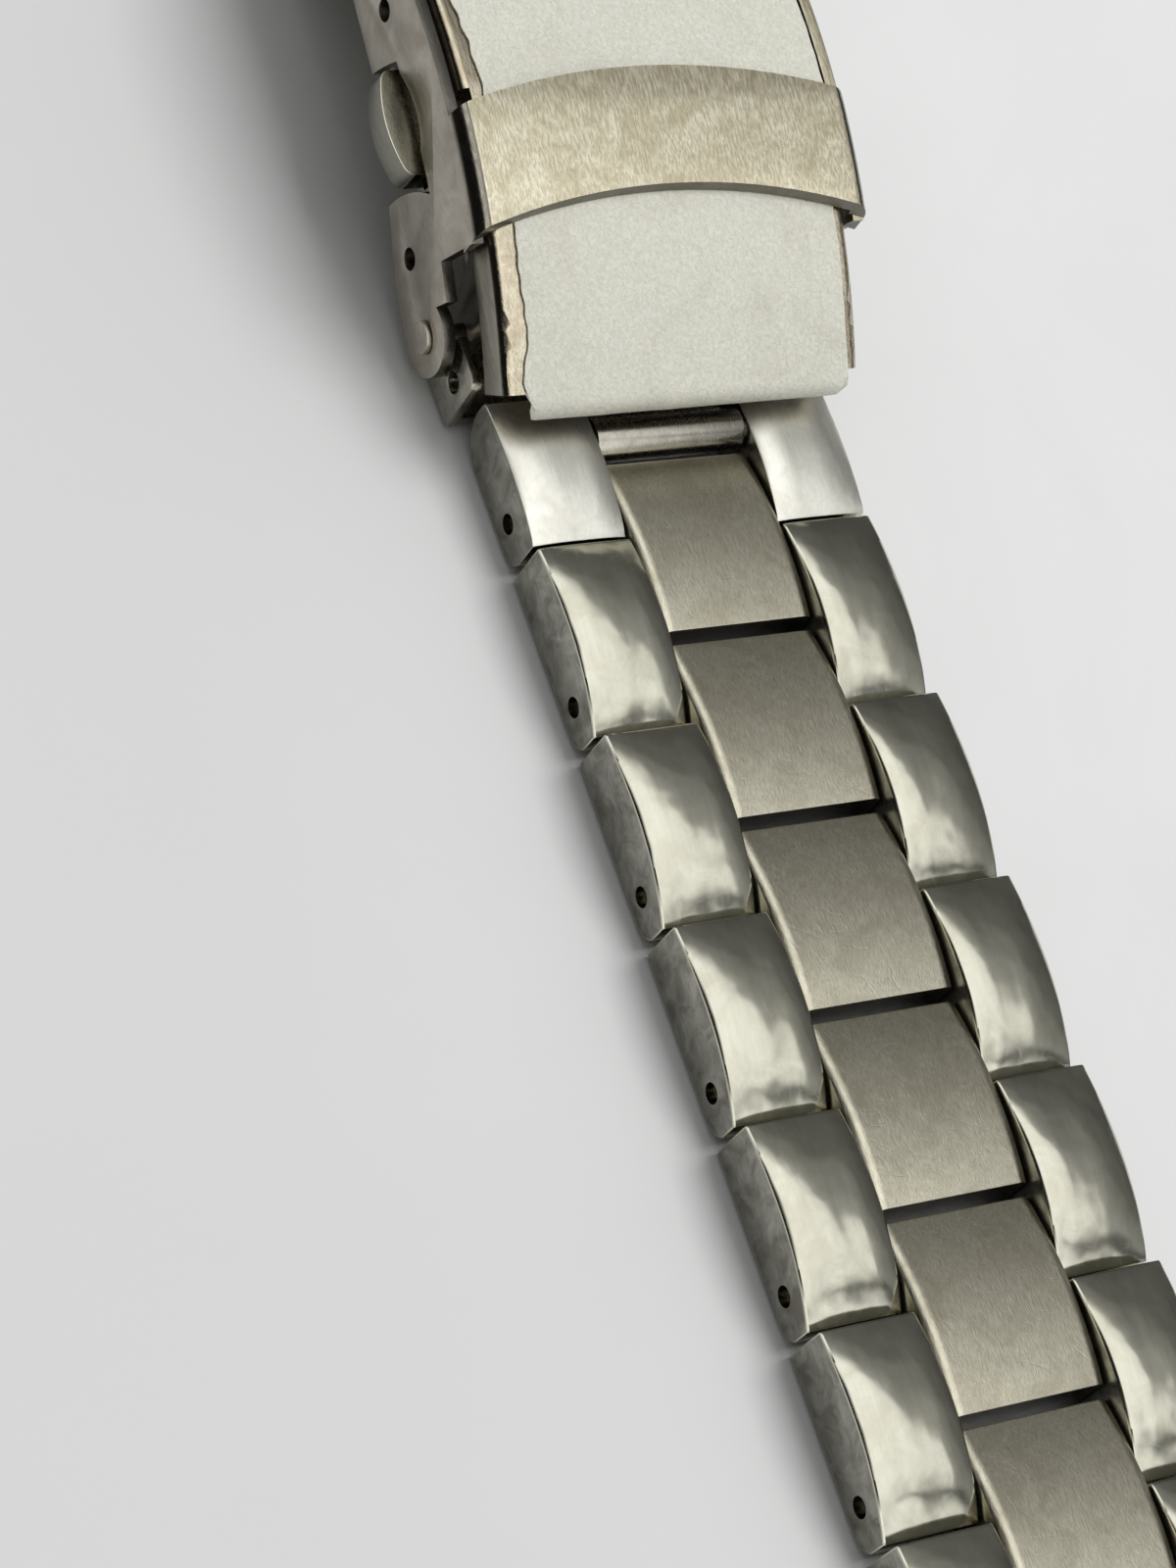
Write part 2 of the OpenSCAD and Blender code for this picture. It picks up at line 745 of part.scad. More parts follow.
// The post that the buttons' hooks hold
module catch_post() {
    on_clasp(0, button_a) {
        translate([-0.8, -0.7, inner_r + inner_t / 2])
            cube([1.6, 1.4, button_mid_r + 0.2 - inner_r - inner_t / 2]);
        translate([-0.8, -1, button_mid_r + 0.2]) cube([1.6, 2, 0.6]);
    }
}

module fold_hinge_pin() {
    color(steel) front_side() rod(fold_axis, blade_pin_d, 0.1 - blade_y, blade_y - 0.1);
}

// Case end piece: a tongue for the last hinge, and a body for the case's spring bar
module case_end() {
    body_y = case_body_y;
    groove = 0.3;
    color(polished) difference() {
        union() {
            center_solid(center_x0, outer_x0 + 1);
            difference() {
                across(2 * body_y) intersection() {
                    union() {
                        translate([outer_x0, 0]) square([case_bar_x - outer_x0, link_h]);
                        disc([case_bar_x, case_end_r], case_end_r);
                    }
                    under_arch(case_bar_x - 1.6, 2 * case_end_r + 0.12, arch_r);
                }
                both_sides() bevel_cut(outer_x0, case_bar_x + case_end_r, body_y, bevel_h, bevel_slope, -1);
                both_sides() translate([outer_x0 - e, outer_y0 - side_gap / 2 - groove / 2, 3.1])
                    cube([10, groove, 2]);
            }
        }
        rod([0, hinge_z], pin_d + 2 * running, -center_w, center_w);
        rod([case_bar_x, case_end_r], case_bar_d + 2 * push, -band_w, band_w);
    }
}

// Tube of the case spring bar, open inside for the tips' heads
module case_bar() {
    at = [case_bar_x, case_end_r];
    color(steel) difference() {
        rod(at, case_bar_d, -bar_y, bar_y);
        rod(at, tip_bore_d, cap_t - bar_y, bar_y - cap_t);
        rod(at, collar_d + 2 * running, -band_w, band_w);
    }
}

// Tip at the -Y end, with its head inside the tube
module case_bar_tip() {
    at = [case_bar_x, case_end_r];
    head_l = 1.2;
    color(polished) {
        rod(at, tip_d, -case_body_y - tip_reach, -bar_y + cap_t + head_l);
        rod(at, collar_d, -case_body_y, -bar_y + cap_t + head_l);
        rod(at, tip_bore_d - 2 * running, -bar_y + cap_t + 0.05, -bar_y + cap_t + head_l);
    }
}

for (i = [1:links_all]) {
    at_link(i) outer_pair();
    at_link(i) center_link();
    at_link(i) link_pins();
}
clasp_cover();
cover_film();
safety_lock();
cover_hinge_pin();
button_left();
button_right();
button_spring_left();
button_spring_right();
middle_blade();
inner_blade();
fold_hinge_pin();
front_side() front_end_outers();
front_side() front_end_spring_bar();
front_side() end_pin(pin_y);  // front_end_pin
back_end_link();
back_end_spring_bar();
back_side() end_pin(back_end_y - 0.6);  // back_end_pin
for (s = ["front", "back"]) {
    at_case_end(s) case_end();
    at_case_end(s) case_bar();
    at_case_end(s) case_bar_tip();
    at_case_end(s) mirror([0, 1, 0]) case_bar_tip();
}
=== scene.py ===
"""Steel link bracelet with a folding clasp: rounded edges, finishes, film, studio and camera."""
from __future__ import annotations

import json
import logging
import math
from collections.abc import Callable
from dataclasses import dataclass, field
from enum import Enum

import bmesh
import bpy
from mathutils import Matrix, Vector, noise

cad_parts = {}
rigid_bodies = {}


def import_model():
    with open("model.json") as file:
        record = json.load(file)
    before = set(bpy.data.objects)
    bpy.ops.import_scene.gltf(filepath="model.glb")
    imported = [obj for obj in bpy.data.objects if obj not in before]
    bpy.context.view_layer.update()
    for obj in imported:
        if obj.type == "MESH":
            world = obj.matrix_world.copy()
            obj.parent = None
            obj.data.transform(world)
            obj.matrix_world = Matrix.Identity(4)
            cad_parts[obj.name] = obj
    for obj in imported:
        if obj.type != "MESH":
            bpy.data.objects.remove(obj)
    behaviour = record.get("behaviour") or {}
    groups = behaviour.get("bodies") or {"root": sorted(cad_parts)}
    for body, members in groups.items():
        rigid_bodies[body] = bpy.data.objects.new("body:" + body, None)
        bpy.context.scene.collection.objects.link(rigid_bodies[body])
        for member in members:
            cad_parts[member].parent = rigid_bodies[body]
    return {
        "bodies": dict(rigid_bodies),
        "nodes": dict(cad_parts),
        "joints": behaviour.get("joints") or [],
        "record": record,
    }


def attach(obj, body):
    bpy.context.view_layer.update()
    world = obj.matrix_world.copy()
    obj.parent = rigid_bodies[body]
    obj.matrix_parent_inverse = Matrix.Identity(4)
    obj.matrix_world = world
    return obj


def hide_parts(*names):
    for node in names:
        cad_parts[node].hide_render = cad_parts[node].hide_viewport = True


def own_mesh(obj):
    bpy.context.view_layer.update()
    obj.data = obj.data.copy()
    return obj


LOG = logging.getLogger("bracelet")
MM = 0.001
MERGE_REACH = 0.002
FLAT_ANGLE = 0.6
SHARP_ANGLE = 30.0
EDGE_STEPS = 2
EDGE_PROFILE = 0.6
NOISE_MIDDLE = 0.5
# The Mix node's colour inputs go by number, because its other inputs have the same names
MIX_FIRST = 6
MIX_SECOND = 7

Pair = tuple[float, float]
Triple = tuple[float, float, float]
Colour = Triple
Socket = bpy.types.NodeSocket
Given = dict[str | int, object]


class Strap(Enum):
    """Which of the two straps a link belongs to."""

    FRONT = "front"
    BACK = "back"


class Grain(Enum):
    """Which way the brush marks of a finish run."""

    ALONG = (1.0, 0.0)
    ACROSS = (0.0, 1.0)


class LinkPart(Enum):
    """The pieces that make up a link."""

    OUTERS = "outers"
    CENTER = "center"
    PINS = "pins"


class Side(Enum):
    """The two sides of the bracelet."""

    LEFT = "left"
    RIGHT = "right"


class Graph:
    """A node tree with short calls for adding and joining its nodes."""

    def __init__(self, tree: bpy.types.NodeTree) -> None:
        """Keep the shader or geometry tree to fill."""
        self.tree = tree

    def add(self, kind: str, given: Given | None = None, **settings: object) -> bpy.types.Node:
        """Add a node, set its properties and feed its inputs.

        Args:
            kind: the node's type name.
            given: what its inputs are given, by their names or numbers.
            settings: properties of the node, by name.

        Returns:
            The new node.
        """
        node = self.tree.nodes.new(kind)
        for name, value in settings.items():
            setattr(node, name, value)
        for name, value in (given or {}).items():
            self.feed(node.inputs[name], value)
        return node

    def join(self, source: Socket, target: Socket) -> None:
        """Link two sockets."""
        self.tree.links.new(source, target)

    def feed(self, target: Socket, value: object) -> None:
        """Link a socket to an input, or set the input to a number or a colour.

        Args:
            target: the input.
            value: the socket, number or colour.
        """
        if isinstance(value, Socket):
            self.join(value, target)
        else:
            target.default_value = value

    def math(self, operation: str, first: object, second: object = 0.0) -> Socket:
        """Work out one thing from two sockets or numbers."""
        return self.add("ShaderNodeMath", {0: first, 1: second}, operation=operation).outputs[0]

    def blend(self, share: Socket, low: object, high: object) -> Socket:
        """Mix two colours.

        Args:
            share: how much of the second shows, from 0 to 1.
            low: the first, a colour or a socket.
            high: the second, a colour or a socket.

        Returns:
            The mixed colour.
        """
        low, high = ((*end, 1.0) if isinstance(end, tuple) else end for end in (low, high))
        mix = self.add("ShaderNodeMix", {0: share, MIX_FIRST: low, MIX_SECOND: high}, data_type="RGBA")
        return mix.outputs[2]

    def ranged(self, value: Socket, low: float, high: float, start: float = 0.0, end: float = 1.0) -> Socket:
        """Map a value's range from start to end onto one from low to high, clamped."""
        return self.add("ShaderNodeMapRange", {"Value": value, "From Min": start, "From Max": end,
                                               "To Min": low, "To Max": high}).outputs[0]

    def noise(self, place: Socket, **settings: float) -> Socket:
        """Make noise, with the Noise Texture's numbers by their names in small letters."""
        numbers = {name.capitalize(): value for name, value in settings.items()}
        return self.add("ShaderNodeTexNoise", {"Vector": place, **numbers}).outputs["Fac"]

    def shrunk(self, place: Socket, size: Socket) -> Socket:
        """Divide coordinates by a size."""
        scale = self.math("DIVIDE", 1.0, size)
        return self.add("ShaderNodeVectorMath", {0: place, "Scale": scale}, operation="SCALE").outputs[0]

    def split(self, place: Socket) -> bpy.types.NodeOutputs:
        """Give the X, Y and Z of coordinates."""
        return self.add("ShaderNodeSeparateXYZ", {0: place}).outputs

    def bump(self, height: Socket, strength: float, depth: float, under: Socket | None = None) -> Socket:
        """Add a Bump node.

        Args:
            height: the mask that it raises.
            strength: how strongly it shows.
            depth: the height of a full step, in metres.
            under: the bent normal that it lies over, if any.

        Returns:
            The bent normal.
        """
        normal = {} if under is None else {"Normal": under}
        return self.add("ShaderNodeBump", {"Strength": strength, "Distance": depth, "Height": height,
                                           **normal}).outputs["Normal"]

    def either(self, share: Socket, first: Socket, second: Socket) -> Socket:
        """Mix two shaders by a share from 0 to 1."""
        return self.add("ShaderNodeMixShader", {0: share, 1: first, 2: second}).outputs[0]


@dataclass
class Effects:
    """Shader groups that several finishes share, each built once.

    mark_reach and blotch_reach are how far from its middle a noise counts: less makes harder edges.
    """

    mark_reach: float = 0.25
    blotch_reach: float = 0.15
    streaks: bpy.types.NodeTree = field(init=False)
    blotches: bpy.types.NodeTree = field(init=False)
    scratches: bpy.types.NodeTree = field(init=False)

    def __post_init__(self) -> None:
        """Build the groups."""
        self.streaks = self._streaks()
        self.blotches = self._blotches()
        self.scratches = self._scratches()

    @staticmethod
    def _group(name: str, inputs: dict[str, float]) -> tuple[Graph, bpy.types.NodeOutputs, Socket]:
        """Start a group with a Vector input, number inputs and a Mask output.

        Args:
            name: the group's name.
            inputs: its number inputs and their defaults.

        Returns:
            The graph, what it is given, and its mask.
        """
        tree = bpy.data.node_groups.new(name, "ShaderNodeTree")
        tree.interface.new_socket("Vector", in_out="INPUT", socket_type="NodeSocketVector")
        for label, value in inputs.items():
            socket = tree.interface.new_socket(label, in_out="INPUT", socket_type="NodeSocketFloat")
            socket.default_value = value
        tree.interface.new_socket("Mask", in_out="OUTPUT", socket_type="NodeSocketFloat")
        graph = Graph(tree)
        return graph, graph.add("NodeGroupInput").outputs, graph.add("NodeGroupOutput").inputs["Mask"]

    def _streaks(self) -> bpy.types.NodeTree:
        """Make brush marks: fine noise drawn out along one axis.

        Returns:
            A group that gives a mask from 0 to 1.
        """
        graph, given, mask = self._group("brush marks", {"X size": 0.003, "Y size": 0.0001, "Z size": 0.0001,
                                                        "Contrast": 1.0})
        sizes = graph.add("ShaderNodeCombineXYZ", {axis: given[f"{axis} size"] for axis in "XYZ"})
        drawn = graph.add("ShaderNodeVectorMath", {0: given["Vector"], 1: sizes.outputs[0]},
                          operation="DIVIDE")
        marks = graph.noise(drawn.outputs[0], scale=1.0, detail=3.0, roughness=0.65)
        spread = graph.math("MULTIPLY", graph.math("SUBTRACT", marks, NOISE_MIDDLE), given["Contrast"])
        graph.join(graph.ranged(spread, 0.0, 1.0, -self.mark_reach, self.mark_reach), mask)
        return graph.tree

    def _blotches(self) -> bpy.types.NodeTree:
        """Make soft stains and handling marks.

        Returns:
            A group that gives a mask from 0 to 1.
        """
        graph, given, mask = self._group("blotches", {"Size": 0.003, "Cover": 0.5})
        place = graph.shrunk(given["Vector"], given["Size"])
        cloud = graph.noise(place, scale=1.0, detail=5.0, roughness=0.6, distortion=0.8)
        lifted = graph.math("ADD", cloud, graph.math("SUBTRACT", given["Cover"], NOISE_MIDDLE))
        graph.join(graph.ranged(lifted, 0.0, 1.0, NOISE_MIDDLE - self.blotch_reach,
                                NOISE_MIDDLE + self.blotch_reach), mask)
        return graph.tree

    def _scratches(self) -> bpy.types.NodeTree:
        """Make thin hairline scratches in changing directions.

        Returns:
            A group that gives a mask, 1 in a scratch.
        """
        graph, given, mask = self._group("hairlines", {"Size": 0.004, "Cover": 0.03})
        place = graph.shrunk(given["Vector"], given["Size"])
        bent = graph.noise(place, scale=1.2, detail=2.0, distortion=1.5)
        ridge = graph.math("ABSOLUTE", graph.math("SUBTRACT", bent, NOISE_MIDDLE))
        near = graph.math("DIVIDE", ridge, given["Cover"])
        graph.join(graph.ranged(near, 1.0, 0.0), mask)
        return graph.tree


def use_group(graph: Graph, tree: bpy.types.NodeTree, place: Socket, **values: float) -> Socket:
    """Place a shared group in a material.

    Args:
        graph: the material's graph.
        tree: the group.
        place: the coordinates that it works on.
        values: its number inputs, with underscores for spaces.

    Returns:
        The group's mask.
    """
    numbers = {name.replace("_", " "): value for name, value in values.items()}
    return graph.add("ShaderNodeGroup", {"Vector": place, **numbers}, node_tree=tree).outputs["Mask"]


def blank_material(name: str) -> tuple[bpy.types.Material, Graph, bpy.types.Node, Socket]:
    """Start a material.

    Args:
        name: its name.

    Returns:
        The material, its graph, its Principled shader and its Object coordinates.
    """
    material = bpy.data.materials.new(name)
    material.use_nodes = True
    graph = Graph(material.node_tree)
    shader = material.node_tree.nodes["Principled BSDF"]
    return material, graph, shader, graph.add("ShaderNodeTexCoord").outputs["Object"]


@dataclass(frozen=True)
class SteelFinish:
    """A steel surface, from mirror bright to satin, with its sizes in mm.

    hairline_size is counted in stain sizes, and hairline_depth in the brush marks' depth. The shares are
    from 0 to 1, and mark_roughness is the brush marks' share of what makes the surface rough.
    """

    name: str
    dark: Colour
    light: Colour
    rough_low: float
    rough_high: float
    grain: Grain = Grain.ALONG
    mark_length: float = 2.0
    mark_width: float = 0.12
    mark_contrast: float = 1.0
    mark_depth: float = 0.003
    mark_strength: float = 0.6
    mark_roughness: float = 0.6
    stain: Colour = (0.45, 0.40, 0.33)
    stain_cover: float = 0.45
    stain_size: float = 2.5
    stain_share: float = 0.35
    hairline_size: float = 1.7
    hairline_cover: float = 0.012
    hairline_roughness: float = 0.06
    hairline_depth: float = 0.8
    wave_depth: float = 0.0
    wave_size: float = 1.9

    def build(self, effects: Effects) -> bpy.types.Material:
        """Make the material.

        Args:
            effects: the shared shader groups.

        Returns:
            The material.
        """
        material, graph, shader, place = blank_material(self.name)
        shader.inputs["Metallic"].default_value = 1.0
        along, across = self.grain.value
        length, width = self.mark_length * MM, self.mark_width * MM
        marks = use_group(graph, effects.streaks, place,
                          X_size=length * along + width * across,
                          Y_size=width * along + length * across, Z_size=width,
                          Contrast=self.mark_contrast)
        stains = use_group(graph, effects.blotches, place, Size=self.stain_size * MM, Cover=self.stain_cover)
        hair = use_group(graph, effects.scratches, place, Size=self.stain_size * self.hairline_size * MM,
                         Cover=self.hairline_cover)
        metal = graph.blend(marks, self.dark, self.light)
        graph.join(graph.blend(graph.math("MULTIPLY", stains, self.stain_share), metal, self.stain),
                   shader.inputs["Base Color"])
        rough = graph.math("ADD", graph.math("MULTIPLY", marks, self.mark_roughness),
                           graph.math("MULTIPLY", stains, 1.0 - self.mark_roughness))
        worn = graph.math("ADD", graph.ranged(rough, self.rough_low, self.rough_high),
                          graph.math("MULTIPLY", hair, self.hairline_roughness))
        graph.join(worn, shader.inputs["Roughness"])
        height = graph.math("SUBTRACT", marks, graph.math("MULTIPLY", hair, self.hairline_depth))
        waves = self._waves(graph, place) if self.wave_depth > 0 else None
        graph.join(graph.bump(height, self.mark_strength, self.mark_depth * MM, waves),
                   shader.inputs["Normal"])
        return material

    def _waves(self, graph: Graph, place: Socket) -> Socket:
        """Give the normal bent by the slow unevenness that buffing leaves."""
        hills = graph.noise(place, scale=1.0 / (self.wave_size * MM), detail=1.0)
        return graph.bump(hills, 1.0, self.wave_depth * MM)


@dataclass(frozen=True)
class FilmFinish:
    """White matt protective film, with its sizes in mm."""

    name: str = "white film"
    white: Colour = (0.79, 0.785, 0.69)
    soiled: Colour = (0.47, 0.46, 0.38)
    specular: float = 0.35
    sheen: float = 0.08
    rough_low: float = 0.48
    rough_high: float = 0.66
    speck_size: float = 0.22
    speck_cover: float = 0.45
    speck_share: float = 0.42
    speck_strength: float = 0.8
    speck_depth: float = 0.025
    cloud_size: float = 6.0
    cloud_cover: float = 0.35
    cloud_share: float = 0.3

    def build(self, effects: Effects) -> bpy.types.Material:
        """Make the material.

        Args:
            effects: the shared shader groups.

        Returns:
            The material.
        """
        material, graph, shader, place = blank_material(self.name)
        shader.inputs["Specular IOR Level"].default_value = self.specular
        shader.inputs["Sheen Weight"].default_value = self.sheen
        specks = use_group(graph, effects.blotches, place, Size=self.speck_size * MM, Cover=self.speck_cover)
        clouds = use_group(graph, effects.blotches, place, Size=self.cloud_size * MM, Cover=self.cloud_cover)
        soil = graph.math("ADD", graph.math("MULTIPLY", specks, self.speck_share),
                          graph.math("MULTIPLY", clouds, self.cloud_share))
        graph.join(graph.blend(soil, self.white, self.soiled), shader.inputs["Base Color"])
        graph.join(graph.ranged(specks, self.rough_low, self.rough_high), shader.inputs["Roughness"])
        graph.join(graph.bump(specks, self.speck_strength, self.speck_depth * MM), shader.inputs["Normal"])
        return material


@dataclass(frozen=True)
class FloorFinish:
    """Plain pale surface under the bracelet, with its sizes in mm.

    Its colour runs from the darker left to the lighter right over side_reach either way, which is painted
    light falling off towards the left, with clouds of the low colour.
    In reflections only, it darkens to the table colour towards reflected_shade_start on the left: a painted
    dark reflection, not a colour that the floor has.
    """

    name: str = "pale floor"
    # left and right: one pale colour, darker on the left as painted light that falls off towards the left
    left: Colour = (0.755, 0.765, 0.76)
    right: Colour = (0.85, 0.86, 0.855)
    low: Colour = (0.73, 0.74, 0.735)
    # table and reflected_shade_start: the painted dark reflection of the floor on the left
    reflected_shade: Colour = (0.03, 0.03, 0.03)
    specular: float = 0.2
    roughness: float = 0.75
    cloud_size: float = 30.0
    cloud_cover: float = 0.5
    cloud_share: float = 0.3
    side_reach: float = 30.0
    reflected_shade_start: float = 44.0

    def build(self, effects: Effects) -> bpy.types.Material:
        """Make the material.

        Args:
            effects: the shared shader groups.

        Returns:
            The material.
        """
        material, graph, shader, place = blank_material(self.name)
        shader.inputs["Specular IOR Level"].default_value = self.specular
        shader.inputs["Roughness"].default_value = self.roughness
        clouds = use_group(graph, effects.blotches, place, Size=self.cloud_size * MM, Cover=self.cloud_cover)
        across, reach, end = graph.split(place)["Y"], self.side_reach * MM, self.reflected_shade_start * MM
        # painted light: the floor darkens from right to left
        sides = graph.blend(graph.ranged(across, 0.0, 1.0, -reach, reach), self.left, self.right)
        paper = graph.blend(graph.math("MULTIPLY", clouds, self.cloud_share), sides, self.low)
        # painted dark reflection: glossy rays see the floor turn to the table colour towards the left
        beyond = graph.ranged(across, 1.0, 0.0, -end, -end / 2)
        mirrored = graph.add("ShaderNodeLightPath").outputs["Is Glossy Ray"]
        graph.join(graph.blend(graph.math("MULTIPLY", beyond, mirrored), paper, self.reflected_shade),
                   shader.inputs["Base Color"])
        return material


POLISHED = SteelFinish("polished steel", (0.51, 0.50, 0.41), (0.62, 0.61, 0.515), 0.10, 0.20,
                       mark_length=5.0, mark_width=0.35, mark_contrast=0.6, mark_depth=0.0006,
                       stain=(0.35, 0.33, 0.235), stain_cover=0.44, stain_size=2.0, wave_depth=0.065)
# Painted highlight: a lighter, rougher copy of the polished steel for the end link's top, so that the top
# shows bright
END_TOP_PAINTED_HIGHLIGHT = SteelFinish("end link top with painted highlight", (0.86, 0.85, 0.77), (1.0, 0.99, 0.90), 0.36, 0.50,
                        mark_length=2.4, mark_width=0.16, stain=(0.60, 0.57, 0.46), stain_cover=0.44,
                        stain_size=1.5)
# Painted shade: the links' side faces are darker than the polished steel, as they mirror the floor in shade;
# their brown stains are their own
SHADED_SIDE_FACE = SteelFinish("stained side steel with painted shade", (0.31, 0.305, 0.27), (0.48, 0.47, 0.42), 0.24, 0.40,
                        mark_length=1.6, mark_width=0.09, mark_depth=0.002, stain=(0.10, 0.085, 0.06),
                        stain_cover=0.50, stain_size=1.3, stain_share=0.65)
# Painted shade: the bends from a sheet's top down to its side walls, darkened as if they mirrored only dark
SHADED_BEND = SteelFinish("shaded bend", (0.20, 0.185, 0.15), (0.36, 0.34, 0.28), 0.12, 0.24,
                        mark_length=1.2, mark_depth=0.002, stain=(0.08, 0.07, 0.05), stain_size=1.0,
                        stain_share=0.5)
SHADED_SHEET = SteelFinish("shaded sheet steel", (0.15, 0.14, 0.12), (0.25, 0.24, 0.21), 0.26, 0.40,
                           stain=(0.10, 0.09, 0.07))
# Painted shade: the clasp cover's side walls, darkened so that they, and what shows of them through the
# skirt's hole, look in shade
SHADED_COVER_SIDE = SteelFinish("shaded cover side steel", (0.27, 0.25, 0.215), (0.41, 0.385, 0.335), 0.26, 0.40,
                         stain=(0.16, 0.14, 0.10))
SKIRT = SteelFinish("skirt steel", (0.46, 0.425, 0.375), (0.62, 0.585, 0.52), 0.26, 0.38,
                    mark_length=0.8, mark_contrast=0.8, stain=(0.30, 0.255, 0.19), stain_cover=0.48,
                    stain_size=1.8, stain_share=0.5)
SATIN = SteelFinish("satin steel", (0.50, 0.475, 0.37), (0.76, 0.72, 0.58), 0.28, 0.40,
                    mark_length=0.5, mark_width=0.06, mark_contrast=1.3, mark_depth=0.006,
                    stain=(0.34, 0.30, 0.21), stain_cover=0.42, stain_size=2.2, stain_share=0.5)
BRUSHED_BAND = SteelFinish("brushed band", (0.70, 0.645, 0.465), (1.0, 0.95, 0.76), 0.38, 0.52,
                           mark_length=2.6, mark_contrast=2.4, mark_depth=0.006,
                           stain=(0.50, 0.42, 0.25), stain_cover=0.48, stain_size=1.9, stain_share=0.5)
WARM_SHEET = SteelFinish("warm sheet steel", (0.50, 0.445, 0.335), (0.80, 0.74, 0.585), 0.18, 0.34,
                         mark_length=2.5, mark_contrast=1.6, mark_depth=0.004,
                         stain=(0.36, 0.29, 0.18), stain_cover=0.48, stain_size=1.6, stain_share=0.5)
PLAIN_SHEET = SteelFinish("plain sheet steel", (0.40, 0.38, 0.33), (0.56, 0.54, 0.47), 0.20, 0.34,
                          stain=(0.20, 0.18, 0.14), stain_size=1.6, stain_share=0.5)
WIRE = SteelFinish("drawn wire", (0.56, 0.54, 0.47), (0.74, 0.71, 0.62), 0.14, 0.26, Grain.ACROSS,
                   mark_width=0.08, mark_depth=0.002, stain_cover=0.3)
BUTTON_TOP = SteelFinish("button top", (0.21, 0.205, 0.155), (0.30, 0.29, 0.23), 0.24, 0.34,
                         mark_length=1.0, mark_width=0.06, stain_cover=0.3)
BUTTON_SIDE = SteelFinish("button side", (0.21, 0.205, 0.175), (0.31, 0.305, 0.265), 0.16, 0.28,
                          mark_width=0.10, mark_depth=0.002, stain_cover=0.35)


@dataclass
class Wardrobe:
    """Every material, made on first use."""

    effects: Effects
    made: dict[str, bpy.types.Material] = field(default_factory=dict)

    def get(self, finish: SteelFinish | FilmFinish | FloorFinish) -> bpy.types.Material:
        """Give a finish's material.

        Args:
            finish: the finish.

        Returns:
            Its material, the same one each time.
        """
        if finish.name not in self.made:
            self.made[finish.name] = finish.build(self.effects)
        return self.made[finish.name]


def put_in_scene(name: str, mesh: bpy.types.Mesh) -> bpy.types.Object:
    """Make an object of a mesh and link it.

    Args:
        name: the piece's name.
        mesh: its mesh.

    Returns:
        The object.
    """
    piece = bpy.data.objects.new(name, mesh)
    bpy.context.scene.collection.objects.link(piece)
    return piece


def plain_mesh(name: str, shape: bmesh.types.BMesh) -> bpy.types.Mesh:
    """Make a mesh of a shape, and free the shape.

    Args:
        name: the mesh's name.
        shape: the shape.

    Returns:
        The mesh.
    """
    mesh = bpy.data.meshes.new(name)
    shape.to_mesh(mesh)
    shape.free()
    return mesh


def baked(piece: bpy.types.Object) -> bpy.types.Object:
    """Turn a piece's modifiers into a plain mesh.

    Args:
        piece: the object.

    Returns:
        The same object without modifiers.
    """
    graph = bpy.context.evaluated_depsgraph_get()
    mesh = bpy.data.meshes.new_from_object(piece.evaluated_get(graph))
    piece.modifiers.clear()
    old, piece.data = piece.data, mesh
    bpy.data.meshes.remove(old)
    return piece


def shade(mesh: bpy.types.Mesh, sharp: float = 28.0) -> None:
    """Shade a mesh smooth, with edges sharper than an angle left sharp.

    Args:
        mesh: the mesh.
        sharp: the angle in degrees.
    """
    mesh.shade_smooth()
    mesh.set_sharp_from_angle(angle=math.radians(sharp))


def stacked(layers: list[list[Triple]]) -> bmesh.types.BMesh:
    """Join outlines of the same length into a closed solid.

    Args:
        layers: the outlines in order, each a list of (x, y, z) corners in mm.

    Returns:
        The solid, with quads between the outlines and a cap at each end.
    """
    shape = bmesh.new()
    rings = [[shape.verts.new(Vector(p) * MM) for p in layer] for layer in layers]
    shape.faces.new(rings[0])
    shape.faces.new(rings[-1][::-1])
    for near, far in zip(rings, rings[1:]):
        for i in range(len(near)):
            k = (i + 1) % len(near)
            shape.faces.new((near[i], far[i], far[k], near[k]))
    bmesh.ops.recalc_face_normals(shape, faces=shape.faces)
    return shape


@dataclass(frozen=True)
class Crown:
    """A soft rounding of a link's top towards one side face, steepest at that face."""

    drop: float
    slope: float

    @property
    def radius(self) -> float:
        """Give its radius, in mm."""
        return self.drop / (1 - math.cos(math.radians(self.slope)))

    @property
    def width(self) -> float:
        """Give how far it reaches in from the side face, in mm."""
        return self.radius * math.sin(math.radians(self.slope))

    def fall(self, inset: float) -> float:
        """Give how far the top lies below its highest line, at a distance from the side face."""
        reach = max(0.0, self.width - inset)
        return self.radius - math.sqrt(self.radius ** 2 - reach ** 2)


def break_edges(shape: bmesh.types.BMesh, radius: float, sharp: float) -> None:
    """Round a solid's sharp edges.

    Args:
        shape: the solid.
        radius: how far each edge is broken, in mm.
        sharp: only edges sharper than this are broken, in degrees.
    """
    edges = [e for e in shape.edges
             if len(e.link_faces) == 2 and e.calc_face_angle(0.0) > math.radians(sharp)]
    bmesh.ops.bevel(shape, geom=edges, offset=radius * MM, offset_type="OFFSET", segments=EDGE_STEPS,
                    profile=EDGE_PROFILE, affect="EDGES", clamp_overlap=True, material=-1)


